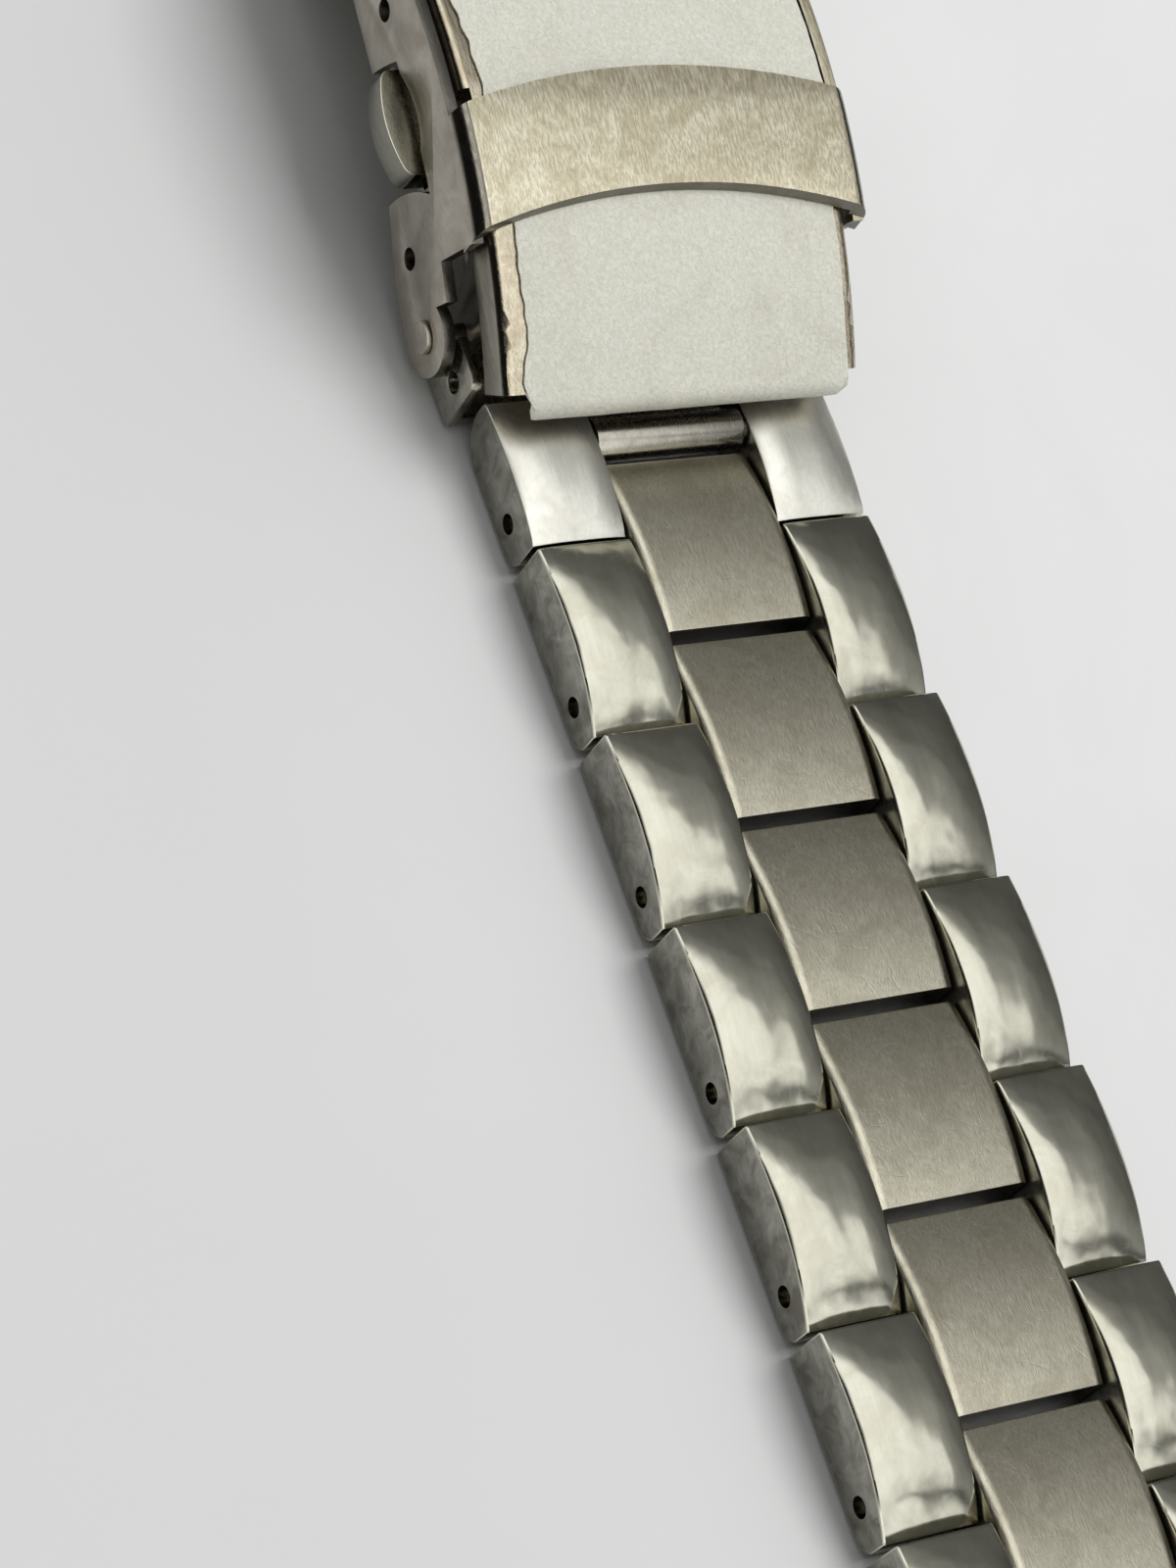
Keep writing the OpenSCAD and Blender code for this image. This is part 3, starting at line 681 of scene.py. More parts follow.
@dataclass(frozen=True)
class Bore:
    """A round hole across the bracelet, from y0 to y1, with its sizes in mm."""

    x: float
    z: float
    diameter: float
    y0: float
    y1: float
    facets: int = 48

    def cut(self, piece: bpy.types.Object) -> None:
        """Cut the hole in a piece.

        Args:
            piece: the solid.
        """
        shape = bmesh.new()
        turn = Matrix.Translation(Vector((self.x, (self.y0 + self.y1) / 2, self.z)) * MM) \
            @ Matrix.Rotation(math.radians(90), 4, "X")
        radius = self.diameter / 2 * MM
        bmesh.ops.create_cone(shape, cap_ends=True, segments=self.facets, radius1=radius, radius2=radius,
                              depth=(self.y1 - self.y0) * MM, matrix=turn)
        mesh = plain_mesh("bore", shape)
        cutter = put_in_scene("bore", mesh)
        step = piece.modifiers.new("bore", "BOOLEAN")
        step.operation, step.solver, step.object = "DIFFERENCE", "EXACT", cutter
        baked(piece)
        bpy.data.objects.remove(cutter)
        bpy.data.meshes.remove(mesh)


def softened_mesh(node: bpy.types.Object, name: str, radius: float) -> bpy.types.Mesh:
    """Copy a CAD node's mesh with its sharp edges broken.

    Args:
        node: the node's object.
        name: the new mesh's name.
        radius: how far each edge is broken, in mm.

    Returns:
        The new mesh.
    """
    shape = bmesh.new()
    shape.from_mesh(node.data)
    bmesh.ops.remove_doubles(shape, verts=shape.verts, dist=MERGE_REACH * MM)
    bmesh.ops.dissolve_limit(shape, angle_limit=math.radians(FLAT_ANGLE), verts=shape.verts,
                             edges=shape.edges)
    break_edges(shape, radius, SHARP_ANGLE)
    mesh = plain_mesh(name, shape)
    mesh.materials.clear()
    shade(mesh)
    return mesh


@dataclass
class Frame:
    """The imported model, with short ways to its nodes, joints and bodies."""

    data: dict

    def node(self, name: str) -> bpy.types.Object:
        """Give a CAD node's object by its name."""
        return self.data["nodes"][name]

    def hinge_x(self, joint: str) -> float:
        """Give a hinge's X along the bracelet, in metres, by its joint's name."""
        return next(j["pos_m"][0] for j in self.data["joints"] if j["name"] == joint)

    def body_of(self, node: str) -> str:
        """Give the body that a node rides on."""
        bodies = self.data["record"]["behaviour"]["bodies"]
        return next(b for b, members in bodies.items() if node in members)

    def seat(self, piece: bpy.types.Object, node: str) -> bpy.types.Object:
        """Let a piece stand for a node: it rides on its body, and the node is hidden.

        Args:
            piece: the finished piece.
            node: the node.

        Returns:
            The piece.
        """
        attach(piece, self.body_of(node))
        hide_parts(node)
        LOG.info("%s stands for %s", piece.name, node)
        return piece


@dataclass
class LinkPlacer:
    """Geometry Nodes tree that sets a link piece at its hinge and gives it its finish."""

    tree: bpy.types.NodeTree = field(init=False)
    sockets: dict[str, str] = field(init=False, default_factory=dict)

    def __post_init__(self) -> None:
        """Build the tree."""
        tree = bpy.data.node_groups.new("link placer", "GeometryNodeTree")
        wanted = (("Link piece", "NodeSocketObject"), ("Hinge place", "NodeSocketFloat"),
                  ("Half turns", "NodeSocketFloat"), ("Finish", "NodeSocketMaterial"))
        for name, kind in wanted:
            self.sockets[name] = tree.interface.new_socket(name, in_out="INPUT", socket_type=kind).identifier
        tree.interface.new_socket("Geometry", in_out="OUTPUT", socket_type="NodeSocketGeometry")
        graph = Graph(tree)
        given, out = graph.add("NodeGroupInput").outputs, graph.add("NodeGroupOutput")
        source = graph.add("GeometryNodeObjectInfo", {"Object": given["Link piece"], "As Instance": True},
                           transform_space="ORIGINAL")
        hinge = graph.add("ShaderNodeCombineXYZ", {"X": given["Hinge place"]})
        turn = graph.add("ShaderNodeCombineXYZ", {"Z": graph.math("MULTIPLY", given["Half turns"], math.pi)})
        points = graph.add("GeometryNodePoints", {"Position": hinge.outputs[0]})
        copies = graph.add("GeometryNodeInstanceOnPoints", {"Points": points.outputs[0],
                                                            "Instance": source.outputs["Geometry"],
                                                            "Rotation": turn.outputs[0]})
        real = graph.add("GeometryNodeRealizeInstances", {0: copies.outputs[0]})
        dressed = graph.add("GeometryNodeSetMaterial", {"Geometry": real.outputs[0],
                                                        "Material": given["Finish"]})
        graph.join(dressed.outputs[0], out.inputs["Geometry"])
        self.tree = tree

    def place(self, name: str, source: bpy.types.Object, hinge: float, strap: Strap,
              finish: bpy.types.Material) -> bpy.types.Object:
        """Make one link piece.

        Args:
            name: the new piece's name.
            source: the piece with its hinge at the origin.
            hinge: the hinge's X, in metres.
            strap: the link's strap. The back strap's links are turned round.
            finish: its material.

        Returns:
            The piece as a plain mesh.
        """
        piece = put_in_scene(name, bpy.data.meshes.new(name))
        step = piece.modifiers.new("placed", "NODES")
        step.node_group = self.tree
        step[self.sockets["Link piece"]] = source
        step[self.sockets["Hinge place"]] = hinge
        step[self.sockets["Half turns"]] = 1.0 if strap is Strap.BACK else 0.0
        step[self.sockets["Finish"]] = finish
        return baked(piece)


@dataclass(frozen=True)
class ArchedBlock:
    """A link piece with an arched and crowned top, in its link's own layout, in mm.

    x0 and x1 are its ends and y0 and y1 its sides, crest is where the top is highest, and arch is the
    top's radius along the strap. toe and heel round its lower corners, and nose is a round end's middle
    and radius. The crowns fade towards the ends, as if to nothing at past_end beyond them, but keep
    end_share of their fall. nose_step, nose_gap and top_gap hold neighbouring points apart.
    """

    x0: float
    x1: float
    height: float
    crest: float
    arch: float
    y0: float
    y1: float
    near: Crown
    far: Crown
    bores: tuple[Bore, ...]
    edge: float
    edge_angle: float = 28.0
    toe: float = 0.0
    heel: float = 0.0
    nose: Pair | None = None
    nose_step: float = 0.05
    nose_gap: float = 0.002
    top_gap: float = 0.003
    end_share: float = 0.12
    past_end: float = 0.4
    steps: int = 64
    columns: int = 10
    nose_steps: int = 90
    foot_steps: int = 8

    def _top(self, x: float, y: float) -> float:
        """Give the height of the top: an arch along the strap, less the crowns' fall.

        Args:
            x: the place along the link.
            y: the place across.

        Returns:
            The height.
        """
        arch = self.height - self.arch + math.sqrt(self.arch ** 2 - (x - self.crest) ** 2)
        end = self.x1 + self.past_end if x > self.crest else self.x0 - self.past_end
        share = max(self.end_share, 1 - ((x - self.crest) / (end - self.crest)) ** 2)
        return arch - share * (self.near.fall(y - self.y0) + self.far.fall(self.y1 - y))

    def _nose_points(self) -> list[Pair]:
        """Draw the round upper end, from under the arch down to the foot.

        Returns:
            Its (x, z) points, or none for a piece without a nose.
        """
        if self.nose is None:
            return []
        cx, r = self.nose
        middle = (self.y0 + self.y1) / 2
        points = []
        for i in range(self.nose_steps + 1):
            a = math.radians(90 + 180 * i / self.nose_steps)
            x, z = cx + r * math.cos(a), r + r * math.sin(a)
            if z < self._top(x, middle) - self.nose_gap:
                points.append((x, z))
        return points

    def _quarter(self, corner: float, radius: float, start: float, inward: float) -> list[Pair]:
        """Round a lower corner, with the link to the front of it (inward 1) or to the rear (-1)."""
        angles = [math.radians(start + 90 * i / self.foot_steps) for i in range(self.foot_steps + 1)]
        return [(corner + radius * (inward + math.cos(a)), radius * (1 + math.sin(a))) for a in angles]

    def _foot(self, with_rear: bool) -> list[Pair]:
        """Draw the foot, from the rear end to the front end.

        Args:
            with_rear: whether there is a corner at the rear end.

        Returns:
            Its (x, z) points.
        """
        rear = [(self.x0, 0.0)] if with_rear else []
        if self.heel > 0:
            rear = self._quarter(self.x0, self.heel, 180.0, 1.0)
        front = self._quarter(self.x1, self.toe, -90.0, -1.0) if self.toe > 0 else [(self.x1, 0.0)]
        return rear + front

    def _stations(self) -> list[float]:
        """Choose the places across at which the side view is drawn.

        Returns:
            The places, closest together over the crowns.
        """
        near = [self.y0 + self.near.width * i / self.columns for i in range(self.columns + 1)]
        far = [self.y1 - self.far.width * i / self.columns for i in range(self.columns, -1, -1)]
        middle = (near[-1] + far[0]) / 2
        return [*near, middle, *far]

    def outline(self, y: float) -> list[Triple]:
        """Give the side view at a place across.

        Args:
            y: the place.

        Returns:
            The (x, y, z) corners, round from the foot's rear end.
        """
        nose = self._nose_points()
        start = nose[0][0] + self.nose_step if nose else self.x0
        line = self._foot(not nose)
        for i in range(self.steps + 1):
            x = self.x1 + (start - self.x1) * i / self.steps
            line.append((x, self._top(x, y)))
        line += [(x, min(z, self._top(x, y) - self.top_gap)) for x, z in nose]
        return [(x, y, z) for x, z in line]

    def build(self, name: str) -> bpy.types.Object:
        """Make the piece.

        Args:
            name: its name.

        Returns:
            The piece, with its broken edges and its bores.
        """
        shape = stacked([self.outline(y) for y in self._stations()])
        break_edges(shape, self.edge, self.edge_angle)
        piece = put_in_scene(name, plain_mesh(name, shape))
        for bore in self.bores:
            bore.cut(piece)
        return piece


# The outer link piece on the left; the one on the right is its mirror image
OUTER = ArchedBlock(x0=2.5, x1=12.8, height=4.2, crest=6.732, arch=10.4, y0=-10.0, y1=-4.62,
                    near=Crown(drop=0.64, slope=28.0), far=Crown(drop=0.42, slope=30.0), edge=0.11, toe=1.1,
                    bores=(Bore(x=10.6, z=1.3, diameter=1.1, y0=-11.0, y1=-3.0),
                           Bore(x=5.18, z=1.7, diameter=1.1, y0=-7.24, y1=-3.0)))
CENTRE = ArchedBlock(x0=-2.14, x1=7.86, height=3.5, crest=3.6, arch=20.0, y0=-4.45, y1=4.45,
                     near=Crown(drop=0.28, slope=50.0), far=Crown(drop=0.28, slope=50.0), edge=0.07,
                     heel=0.8, end_share=0.95,
                     bores=(Bore(x=0.0, z=1.3, diameter=1.14, y0=-6.0, y1=6.0),
                            Bore(x=5.18, z=1.7, diameter=1.1, y0=-6.0, y1=6.0)))
END_OUTER = ArchedBlock(x0=-6.15, x1=2.2, height=4.0, crest=-2.2, arch=10.4, y0=-10.0, y1=-4.62,
                        near=Crown(drop=0.6, slope=28.0), far=Crown(drop=0.42, slope=30.0), edge=0.11,
                        toe=1.1, nose=(-3.8, 2.35), end_share=0.3,
                        bores=(Bore(x=0.0, z=1.3, diameter=1.1, y0=-11.0, y1=-3.0),
                               Bore(x=-3.8, z=2.35, diameter=1.04, y0=-6.04, y1=-3.0)))


def with_mirror_image(piece: bpy.types.Object) -> bpy.types.Object:
    """Add a piece's mirror image across the bracelet's middle.

    Args:
        piece: the piece.

    Returns:
        The same object with both halves.
    """
    step = piece.modifiers.new("both sides", "MIRROR")
    step.use_axis = (False, True, False)
    step.use_mirror_merge = False
    return baked(piece)


def mark_faces(mesh: bpy.types.Mesh, finish: bpy.types.Material,
               chosen: Callable[[Vector, Vector], bool]) -> None:
    """Give some of a mesh's faces another finish.

    Args:
        mesh: the mesh, which has its first finish already.
        finish: the faces' finish.
        chosen: says from a face's normal and middle whether it is one of them.
    """
    mesh.materials.append(finish)
    for face in mesh.polygons:
        if chosen(face.normal, face.center):
            face.material_index = len(mesh.materials) - 1


@dataclass
class LinkRow:
    """The links of both straps, and the end link beside the safety lock.

    side_least, end_least and top_least are the least part of a face's normal that points to a side, to
    an end or up. bore_reach is in bore diameters.
    """

    frame: Frame
    wardrobe: Wardrobe
    front_count: int = 7
    back_count: int = 4
    pin_edge: float = 0.06
    smooth_angle: float = 14.0
    side_least: float = 0.995
    end_least: float = 0.9
    top_least: float = 0.05
    bore_reach: float = 0.54

    def _source(self, part: LinkPart) -> bpy.types.Object:
        """Make the pattern piece that every link copies.

        Args:
            part: which piece of the link.

        Returns:
            The pattern, with its hinge at the origin.
        """
        if part is LinkPart.OUTERS:
            return with_mirror_image(OUTER.build("pattern_outers"))
        if part is LinkPart.CENTER:
            return CENTRE.build("pattern_center")
        mesh = softened_mesh(self.frame.node("link_01_pins"), "link pattern pins", self.pin_edge)
        mesh.transform(Matrix.Translation((-self.frame.hinge_x("link_01_hinge"), 0, 0)))
        return put_in_scene("pattern_pins", mesh)

    def _stain_and_shade_sides(self, piece: bpy.types.Object) -> None:
        """Give a link piece its side faces: stained, and darker with painted shade."""
        mark_faces(piece.data, self.wardrobe.get(SHADED_SIDE_FACE), lambda n, _: abs(n.y) > self.side_least)

    def _on_end_top(self, normal: Vector, middle: Vector) -> bool:
        """Say whether a face of the end link faces up and is in none of its bores.

        Args:
            normal: the face's normal.
            middle: its middle, in metres from the hinge.

        Returns:
            True if so.
        """
        off = min(math.hypot(middle.x / MM - bore.x, middle.z / MM - bore.z) / bore.diameter
                  for bore in END_OUTER.bores)
        return normal.z > self.top_least and off > self.bore_reach

    def _end_link(self) -> None:
        """Make the outer pieces of the end link."""
        piece = with_mirror_image(END_OUTER.build("front_end_outers_dressed"))
        piece.data.materials.append(self.wardrobe.get(POLISHED))
        self._stain_and_shade_sides(piece)
        # painted highlight: the end link's faces that face up get the lighter copy of the steel
        mark_faces(piece.data, self.wardrobe.get(END_TOP_PAINTED_HIGHLIGHT), self._on_end_top)
        piece.data.transform(Matrix.Translation((self.frame.hinge_x("link_01_hinge"), 0, 0)))
        shade(piece.data, self.smooth_angle)
        self.frame.seat(piece, "front_end_outers")

    def build(self) -> None:
        """Make, dress and seat every link."""
        placer = LinkPlacer()
        for part, finish in ((LinkPart.OUTERS, POLISHED), (LinkPart.CENTER, SATIN), (LinkPart.PINS, WIRE)):
            source = self._source(part)
            for number in range(1, self.front_count + self.back_count + 1):
                strap = Strap.FRONT if number <= self.front_count else Strap.BACK
                node = f"link_{number:02d}_{part.value}"
                hinge = self.frame.hinge_x(f"link_{number:02d}_hinge")
                piece = placer.place(f"{node}_dressed", source, hinge, strap, self.wardrobe.get(finish))
                if part is LinkPart.OUTERS:
                    self._stain_and_shade_sides(piece)
                if part is LinkPart.CENTER:
                    mark_faces(piece.data, self.wardrobe.get(SHADED_SHEET),
                               lambda n, _: abs(n.x) > self.end_least)
                shade(piece.data, self.smooth_angle)
                self.frame.seat(piece, node)
            bpy.data.objects.remove(source)
        self._end_link()


@dataclass(frozen=True)
class SheetPart:
    """A rigid CAD node that is shown with broken edges.

    edge and rim_outside are in mm, and the other numbers are limits on a face's normal. bend_shade and
    rim_shade paint shade on the bends, on the cut edges at the ends and on the left skirt's upper edge, and
    wall_steel_and_shade gives the side walls their steel, darkened as painted shade where it is the cover's.
    """

    node: str
    finish: SteelFinish
    edge: float
    bend_shade: SteelFinish | None = None
    bend_from: float = 0.62
    wall_steel_and_shade: SteelFinish | None = None
    wall_from: float = 0.94
    rim_shade: SteelFinish | None = None
    rim_along: float = 0.75
    rim_across: float = 0.6
    rim_up: float = 0.3
    rim_outside: float = 11.0

    def on_bend(self, normal: Vector, _: Vector) -> bool:
        """Say whether a face is on the bend between the top and a side wall."""
        return self.bend_from < abs(normal.y) < self.wall_from

    def on_wall(self, normal: Vector, _: Vector) -> bool:
        """Say whether a face is on a side wall."""
        return abs(normal.y) >= self.wall_from

    def on_end_rim(self, normal: Vector, _: Vector) -> bool:
        """Say whether a face is on the cut edge at the front or rear end."""
        return abs(normal.x) > self.rim_along and abs(normal.y) < self.rim_across

    def on_left_rim(self, normal: Vector, middle: Vector) -> bool:
        """Say whether a face is on the upper edge of the left skirt."""
        return normal.z > self.rim_up > abs(normal.y) and middle.y < -self.rim_outside * MM


@dataclass
class ClaspAndEnds:
    """The clasp's metal pieces, the end links and the case ends."""

    frame: Frame
    wardrobe: Wardrobe
    parts: tuple[SheetPart, ...] = (
        # painted shade on the cover's bends and side walls, and on the lock's bends, cut rims and left upper
        # edge
        SheetPart("clasp_cover", WARM_SHEET, 0.10, bend_shade=SHADED_BEND, wall_steel_and_shade=SHADED_COVER_SIDE),
        SheetPart("safety_lock", BRUSHED_BAND, 0.06, bend_shade=SHADED_BEND, bend_from=0.34, wall_steel_and_shade=SKIRT,
                  rim_shade=SHADED_SHEET),
        SheetPart("cover_hinge_pin", SKIRT, 0.06),
        SheetPart("middle_blade", PLAIN_SHEET, 0.06),
        SheetPart("inner_blade", PLAIN_SHEET, 0.08),
        SheetPart("fold_hinge_pin", WIRE, 0.06),
        SheetPart("front_end_spring_bar", WIRE, 0.05),
        SheetPart("front_end_pin", WIRE, 0.06),
        SheetPart("back_end_link", SATIN, 0.12),
        SheetPart("back_end_spring_bar", WIRE, 0.05),
        SheetPart("back_end_pin", WIRE, 0.06),
        *(SheetPart(f"case_end_{strap.value}", POLISHED, 0.12) for strap in Strap),
        *(SheetPart(f"case_bar_{strap.value}", WIRE, 0.04) for strap in Strap),
        *(SheetPart(f"case_bar_tip_{side.value}_{strap.value}", WIRE, 0.05)
          for strap in Strap for side in Side),
    )

    def build(self) -> None:
        """Make, dress and seat each piece."""
        for part in self.parts:
            mesh = softened_mesh(self.frame.node(part.node), f"{part.node} dressed", part.edge)
            mesh.materials.append(self.wardrobe.get(part.finish))
            for finish, chosen in ((part.bend_shade, part.on_bend), (part.wall_steel_and_shade, part.on_wall),
                                   (part.rim_shade, part.on_end_rim), (part.rim_shade, part.on_left_rim)):
                if finish is not None:
                    mark_faces(mesh, self.wardrobe.get(finish), chosen)
            self.frame.seat(put_in_scene(f"{part.node}_dressed", mesh), part.node)


@dataclass
class Buttons:
    """The two push buttons and their return springs.

    rim_least and top_least are the least part of a face's normal that points the way the top does.
    """

    frame: Frame
    wardrobe: Wardrobe
    edge: float = 0.16
    tilt: float = 9.2
    travel: float = 0.8
    rim_least: float = 0.3
    top_least: float = 0.97

    def _spring(self, side: Side) -> None:
        """Make a return spring.

        Args:
            side: the button's side.
        """
        node = f"button_spring_{side.value}"
        mesh = self.frame.node(node).data.copy()
        mesh.materials.clear()
        mesh.materials.append(self.wardrobe.get(WIRE))
        piece = self.frame.seat(put_in_scene(f"{node}_dressed", mesh), node)
        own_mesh(piece)

    def build(self) -> None:
        """Make, dress and seat both: a satin top, a bright rim and a plain side."""
        up = Vector((math.sin(math.radians(self.tilt)), 0, math.cos(math.radians(self.tilt))))
        for side in Side:
            node = f"button_{side.value}"
            mesh = softened_mesh(self.frame.node(node), f"{node} dressed", self.edge)
            mesh.materials.append(self.wardrobe.get(BUTTON_SIDE))
            mark_faces(mesh, self.wardrobe.get(POLISHED), lambda n, _: n.dot(up) > self.rim_least)
            mark_faces(mesh, self.wardrobe.get(BUTTON_TOP), lambda n, _: n.dot(up) > self.top_least)
            self.frame.seat(put_in_scene(f"{node}_dressed", mesh), node)
            self._spring(side)


@dataclass
class Film:
    """Protective film that lies on the cover, under the band, and folds down past its front end.

    Sizes are in mm and angles in degrees, and crest_back is measured from the first link's hinge.
    """

    frame: Frame
    wardrobe: Wardrobe
    crest_back: float = 25.3
    arc_z: float = -24.4
    radius: float = 37.03
    back_angle: float = -35.0
    front_angle: float = 34.6
    left: float = -9.4
    right: float = 9.8
    left_wander: float = 0.75
    right_wander: float = 0.12
    left_seed: float = 1.7
    right_seed: float = 8.3
    slow_rate: float = 0.22
    slow_share: float = 0.8
    quick_rate: float = 0.9
    quick_share: float = 0.35
    quick_seed: float = 5.0
    back_overlap: float = 1.05
    overlap_end: float = 31.0
    overlap_taper: float = 6.0
    thickness: float = 0.10
    lift: float = 0.02
    crease_lift: float = 0.035
    crease_along: float = 0.35
    crease_across: float = 0.5
    crease_seed: float = 3.0
    fold_radius: float = 0.9
    fold_angle: float = 78.0
    corner: float = 0.8
    smooth_angle: float = 50.0
    rows: int = 260
    columns: int = 64

    @property
    def arc(self) -> float:
        """Give the sheet's length over the cover, in mm."""
        return math.radians(self.front_angle - self.back_angle) * self.radius

    def _point(self, travel: float, y: float, lift: float) -> Vector:
        """Give a point of the film.

        Args:
            travel: distance along the sheet from its back edge, in mm.
            y: place across, in mm.
            lift: height above the cover, in mm.

        Returns:
            The point in metres.
        """
        arc_x = self.frame.hinge_x("link_01_hinge") / MM - self.crest_back
        if travel <= self.arc:
            a = math.radians(self.back_angle) + travel / self.radius
            r = self.radius + lift
            return Vector((arc_x + r * math.sin(a), y, self.arc_z + r * math.cos(a))) * MM
        a0 = math.radians(self.front_angle)
        a = a0 + (travel - self.arc) / self.fold_radius
        inner = self.radius - self.fold_radius
        centre_x, centre_z = arc_x + inner * math.sin(a0), self.arc_z + inner * math.cos(a0)
        r = self.fold_radius + lift
        return Vector((centre_x + r * math.sin(a), y, centre_z + r * math.cos(a))) * MM

    def _wander(self, travel: float, seed: float, size: float) -> float:
        """Give how far a hand-cut edge wanders, in mm.

        Args:
            travel: distance along the edge in mm.
            seed: picks the edge.
            size: the largest wander in mm.

        Returns:
            The offset.
        """
        slow = noise.noise(Vector((travel * self.slow_rate, seed, 0.0)))
        quick = noise.noise(Vector((travel * self.quick_rate, seed, self.quick_seed)))
        return size * (self.slow_share * slow + self.quick_share * quick)

    def _corner_cut(self, inset: float) -> float:
        """Give how much the round corners shorten the sheet.

        Args:
            inset: the distance from the nearer side edge, in mm.

        Returns:
            The cut in mm.
        """
        if inset >= self.corner:
            return 0.0
        return self.corner - math.sqrt(self.corner ** 2 - (self.corner - inset) ** 2)

    def _row(self, number: int) -> list[Vector]:
        """Give the points across the film.

        Args:
            number: the row's number, from 0 at the back edge.

        Returns:
            The points in metres, from the left edge to the right.
        """
        length = self.arc + math.radians(self.fold_angle) * self.fold_radius
        base = length * number / self.rows
        y0 = self.left + self._wander(base, self.left_seed, self.left_wander)
        past = min(1.0, max(0.0, (self.overlap_end + self.overlap_taper - base) / self.overlap_taper))
        y1 = self.right + self.back_overlap * past + self._wander(base, self.right_seed, self.right_wander)
        points = []
        for k in range(self.columns + 1):
            y = y0 + (y1 - y0) * (k / self.columns)
            cut = self._corner_cut(max(0.0, min(y - y0, y1 - y)))
            travel = (length - cut) * number / self.rows
            crease = noise.noise(Vector((base * self.crease_along, y * self.crease_across, self.crease_seed)))
            points.append(self._point(travel, y, self.lift + self.crease_lift * max(0.0, crease)))
        return points

    def build(self) -> None:
        """Make, dress and seat the film."""
        shape = bmesh.new()
        grid = [[shape.verts.new(point) for point in self._row(i)] for i in range(self.rows + 1)]
        for lower, upper in zip(grid, grid[1:]):
            for k in range(self.columns):
                shape.faces.new((lower[k], upper[k], upper[k + 1], lower[k + 1]))
        bmesh.ops.recalc_face_normals(shape, faces=shape.faces)
        shape.faces.ensure_lookup_table()
        if shape.faces[len(shape.faces) // 2].normal.z < 0:
            bmesh.ops.reverse_faces(shape, faces=shape.faces)
        piece = put_in_scene("film_sheet", plain_mesh("film sheet", shape))
        wall = piece.modifiers.new("thickness", "SOLIDIFY")
        wall.thickness = self.thickness * MM
        wall.offset = 1.0
        baked(piece)
        piece.data.materials.clear()
        piece.data.materials.append(self.wardrobe.get(FilmFinish()))
        shade(piece.data, self.smooth_angle)
        self.frame.seat(piece, "cover_film")


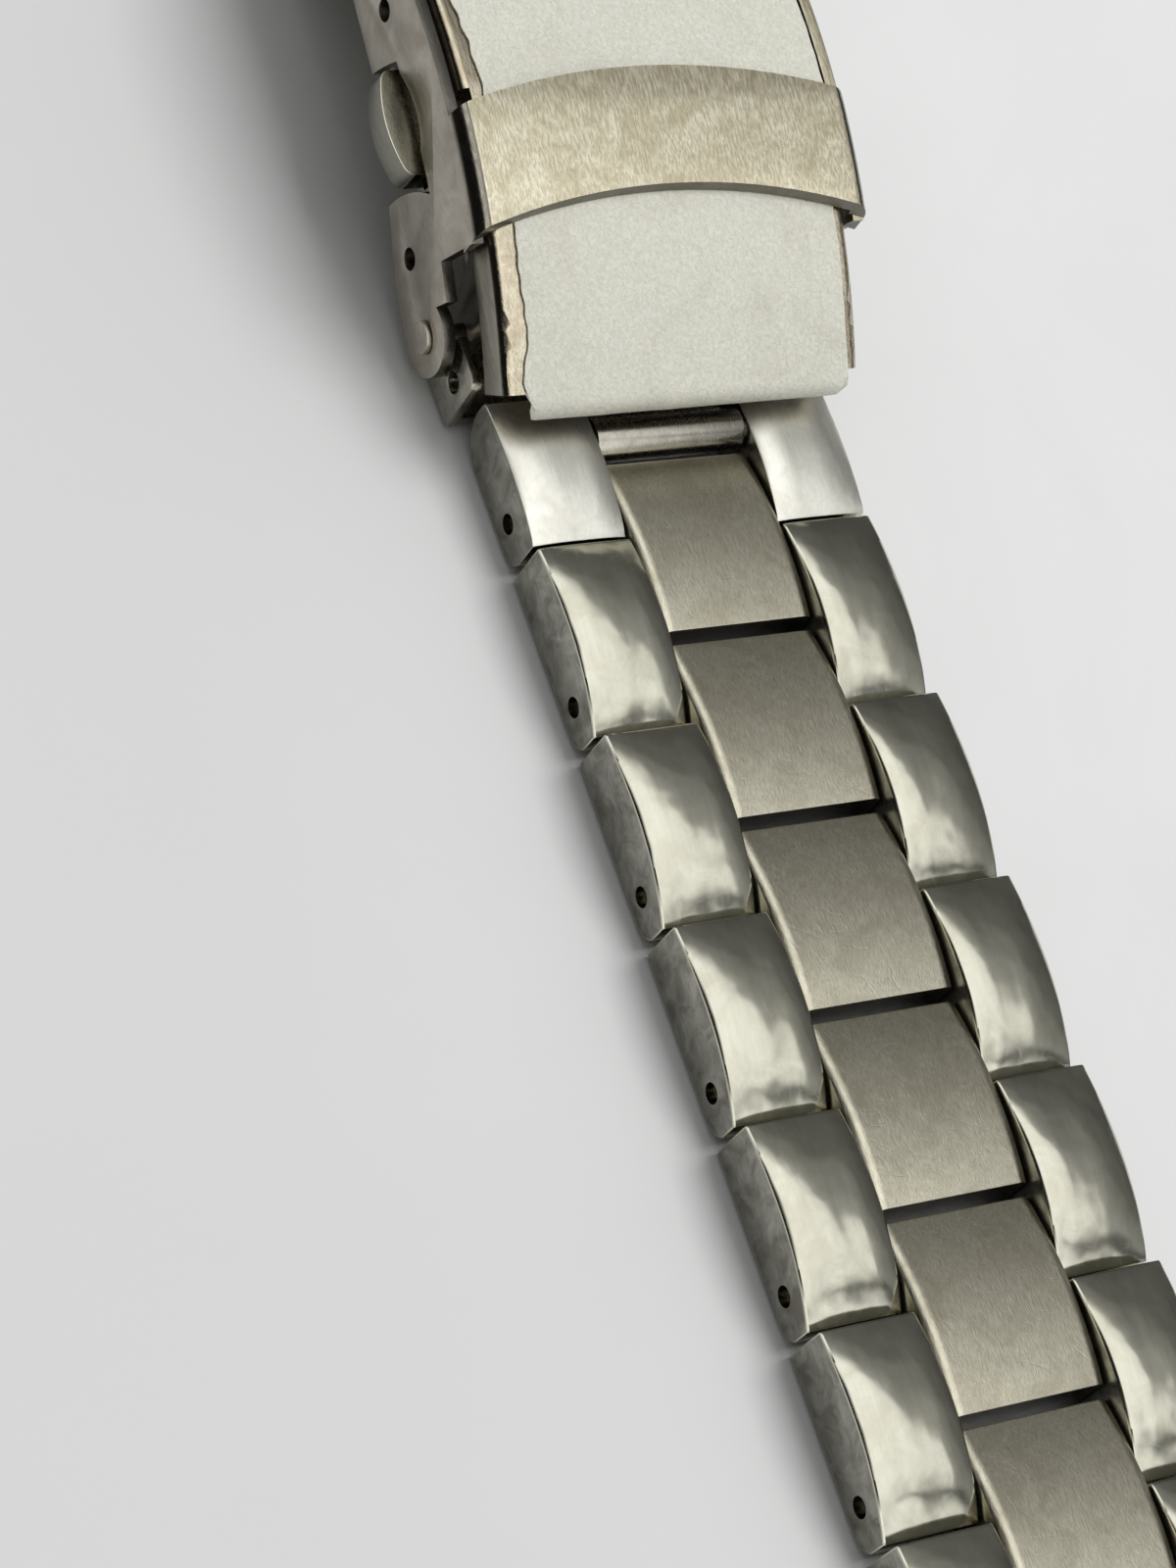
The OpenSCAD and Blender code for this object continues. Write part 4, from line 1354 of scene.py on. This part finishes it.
@dataclass
class Studio:
    """Floor, lamp, surroundings and camera.

    The camera's place, lens and sensor and the floor's drop are in mm, the other sizes in metres and the
    lamp's power in watts. Places in the surroundings are shares of the direction looked in, from -1 to 1.
    """

    frame: Frame
    wardrobe: Wardrobe
    camera_from_hinge: Triple = (88.486, -115.889, 171.858)
    camera_right: Triple = (0.315025, 0.862563, 0.395909)
    camera_up: Triple = (-0.884142, 0.115063, 0.452828)
    lens: float = 99.0
    sensor: float = 36.0
    clip: Pair = (0.01, 20.0)
    floor_size: float = 3.0
    floor_parts: int = 8
    floor_drop: float = 0.3
    lamp_at: Triple = (0.06, 0.40, 0.96)
    lamp_size: float = 0.6
    lamp_power: float = 6.05
    lamp_colour: Colour = (1.0, 0.995, 0.985)
    background: Colour = (0.78, 0.79, 0.785)
    matt_axis: Triple = (0.1, 0.55, 0.83)
    matt_sky: tuple[Pair, ...] = ((-0.2, 0.06), (0.30, 0.26), (0.75, 0.55), (1.0, 0.78))
    metal_axis: Triple = (0.5, -0.4, 0.77)
    metal_sky: tuple[Pair, ...] = ((-0.55, 0.08), (0.0, 0.17), (0.20, 0.29), (0.43, 0.42),
                                   (0.51, 1.22), (0.68, 1.40), (1.0, 1.25))
    bar_at: float = 0.47
    bar_wander: float = 0.5
    bar_wander_scale: float = 3.2
    bar_edge: Pair = (0.02, 0.09)
    bar_from: Pair = (0.1, 0.4)
    bar_share: float = 0.9
    bar_shade: Colour = (0.04, 0.04, 0.04)
    pane_side: Pair = (-0.06, 0.12)
    pane_rise: Pair = (0.20, 0.40)
    pane_share: float = 0.9
    pane_light: Colour = (1.5, 1.5, 1.5)
    left_side: Pair = (-0.52, -0.38)
    left_shade: Colour = (0.02, 0.02, 0.02)

    def camera(self) -> None:
        """Make the camera at the photograph's view."""
        data = bpy.data.cameras.new("camera")
        data.lens = self.lens
        data.sensor_width = self.sensor
        data.clip_start, data.clip_end = self.clip
        camera = bpy.data.objects.new("camera", data)
        bpy.context.scene.collection.objects.link(camera)
        right, up = Vector(self.camera_right).normalized(), Vector(self.camera_up).normalized()
        back = right.cross(up)
        turn = Matrix((right, up, back)).transposed().to_4x4()
        place = Vector(self.camera_from_hinge) * MM + Vector((self.frame.hinge_x("link_01_hinge"), 0, 0))
        camera.matrix_world = Matrix.Translation(place) @ turn
        bpy.context.scene.camera = camera

    def floor(self) -> None:
        """Make the floor."""
        shape = bmesh.new()
        bmesh.ops.create_grid(shape, x_segments=self.floor_parts, y_segments=self.floor_parts,
                              size=self.floor_size / 2)
        floor = put_in_scene("floor", plain_mesh("floor", shape))
        floor.data.materials.append(self.wardrobe.get(FloorFinish()))
        floor.location.z = -self.floor_drop * MM

    def lamp(self) -> None:
        """Make the lamp: a large soft square from above, a little to the right, that faces the bracelet."""
        data = bpy.data.lights.new("window", "AREA")
        data.shape = "SQUARE"
        data.size = self.lamp_size
        data.energy = self.lamp_power
        data.color = self.lamp_colour
        lamp = bpy.data.objects.new("window", data)
        lamp.visible_glossy = False
        bpy.context.scene.collection.objects.link(lamp)
        lamp.location = self.lamp_at
        lamp.rotation_euler = Vector(self.lamp_at).to_track_quat("Z", "Y").to_euler()

    @staticmethod
    def _sky(graph: Graph, place: Socket, axis: Triple, stops: tuple[Pair, ...]) -> Socket:
        """Make brightness that changes along an axis.

        Args:
            graph: the world's graph.
            place: the direction looked in.
            axis: the bright end's direction.
            stops: pairs of place along the axis, from -1 to 1, and brightness.

        Returns:
            The brightness.
        """
        facing = graph.add("ShaderNodeVectorMath", {0: place, 1: Vector(axis).normalized()},
                           operation="DOT_PRODUCT")
        ramp = graph.add("ShaderNodeValToRGB",
                         {"Fac": graph.ranged(facing.outputs["Value"], 0.0, 1.0, -1.0, 1.0)})
        ramp.color_ramp.interpolation = "EASE"
        first, last = ramp.color_ramp.elements
        for stop, (spot, level) in zip((first, last), (stops[0], stops[-1])):
            stop.position, stop.color = (spot + 1) / 2, (level, level, level, 1.0)
        for spot, level in stops[1:-1]:
            ramp.color_ramp.elements.new((spot + 1) / 2).color = (level, level, level, 1.0)
        return ramp.outputs["Color"]

    def _mirrored(self, graph: Graph, place: Socket) -> Socket:
        """Make what the metal mirrors: a sky with a dark bar, a bright pane and a dark left side.

        Args:
            graph: the world's graph.
            place: the direction looked in.

        Returns:
            The colour.
        """
        sky = self._sky(graph, place, self.metal_axis, self.metal_sky)
        parts = graph.split(place)
        bars = graph.noise(place, scale=self.bar_wander_scale, detail=2.0)
        wander = graph.math("MULTIPLY", graph.math("SUBTRACT", bars, NOISE_MIDDLE), self.bar_wander)
        off = graph.math("SUBTRACT", graph.math("ADD", parts["X"], wander), self.bar_at)
        bar = graph.math("MULTIPLY", graph.ranged(graph.math("ABSOLUTE", off), 1.0, 0.0, *self.bar_edge),
                         graph.ranged(parts["Y"], 0.0, 1.0, *self.bar_from))
        left = graph.ranged(parts["Y"], 0.0, 1.0, *self.left_side)
        pane = graph.math("MULTIPLY", graph.ranged(parts["Y"], 1.0, 0.0, *self.pane_side),
                          graph.ranged(parts["Z"], 0.0, self.pane_share, *self.pane_rise))
        barred = graph.blend(graph.math("MULTIPLY", bar, self.bar_share), sky, self.bar_shade)
        lit = graph.blend(pane, barred, self.pane_light)
        return graph.blend(left, self.left_shade, lit)

    def world(self) -> None:
        """Make the surroundings: plain for the camera, one sky for matt things and one for metal."""
        world = bpy.data.worlds.new("studio")
        world.use_nodes = True
        bpy.context.scene.world = world
        graph = Graph(world.node_tree)
        place = graph.add("ShaderNodeTexCoord").outputs["Generated"]
        matt = world.node_tree.nodes["Background"]
        graph.join(self._sky(graph, place, self.matt_axis, self.matt_sky), matt.inputs["Color"])
        metal = graph.add("ShaderNodeBackground", {"Color": self._mirrored(graph, place)})
        plain = graph.add("ShaderNodeBackground", {"Color": (*self.background, 1.0)})
        rays = graph.add("ShaderNodeLightPath").outputs
        glossy = graph.math("MAXIMUM", rays["Is Glossy Ray"], rays["Is Transmission Ray"])
        round_it = graph.either(glossy, matt.outputs[0], metal.outputs[0])
        seen = graph.either(rays["Is Camera Ray"], round_it, plain.outputs[0])
        graph.join(seen, world.node_tree.nodes["World Output"].inputs["Surface"])

    def build(self) -> None:
        """Make everything round the bracelet."""
        bpy.context.scene.view_settings.view_transform = "Standard"
        self.camera()
        self.floor()
        self.lamp()
        self.world()
        LOG.info("the studio is set")


def main() -> None:
    """Load the frame, then build and dress everything in order."""
    logging.basicConfig(level=logging.INFO, format="%(name)s: %(message)s")
    frame = Frame(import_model())
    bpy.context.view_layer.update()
    wardrobe = Wardrobe(Effects())
    Studio(frame, wardrobe).build()
    LinkRow(frame, wardrobe).build()
    ClaspAndEnds(frame, wardrobe).build()
    Buttons(frame, wardrobe).build()
    Film(frame, wardrobe).build()


if __name__ == "__main__":
    main()
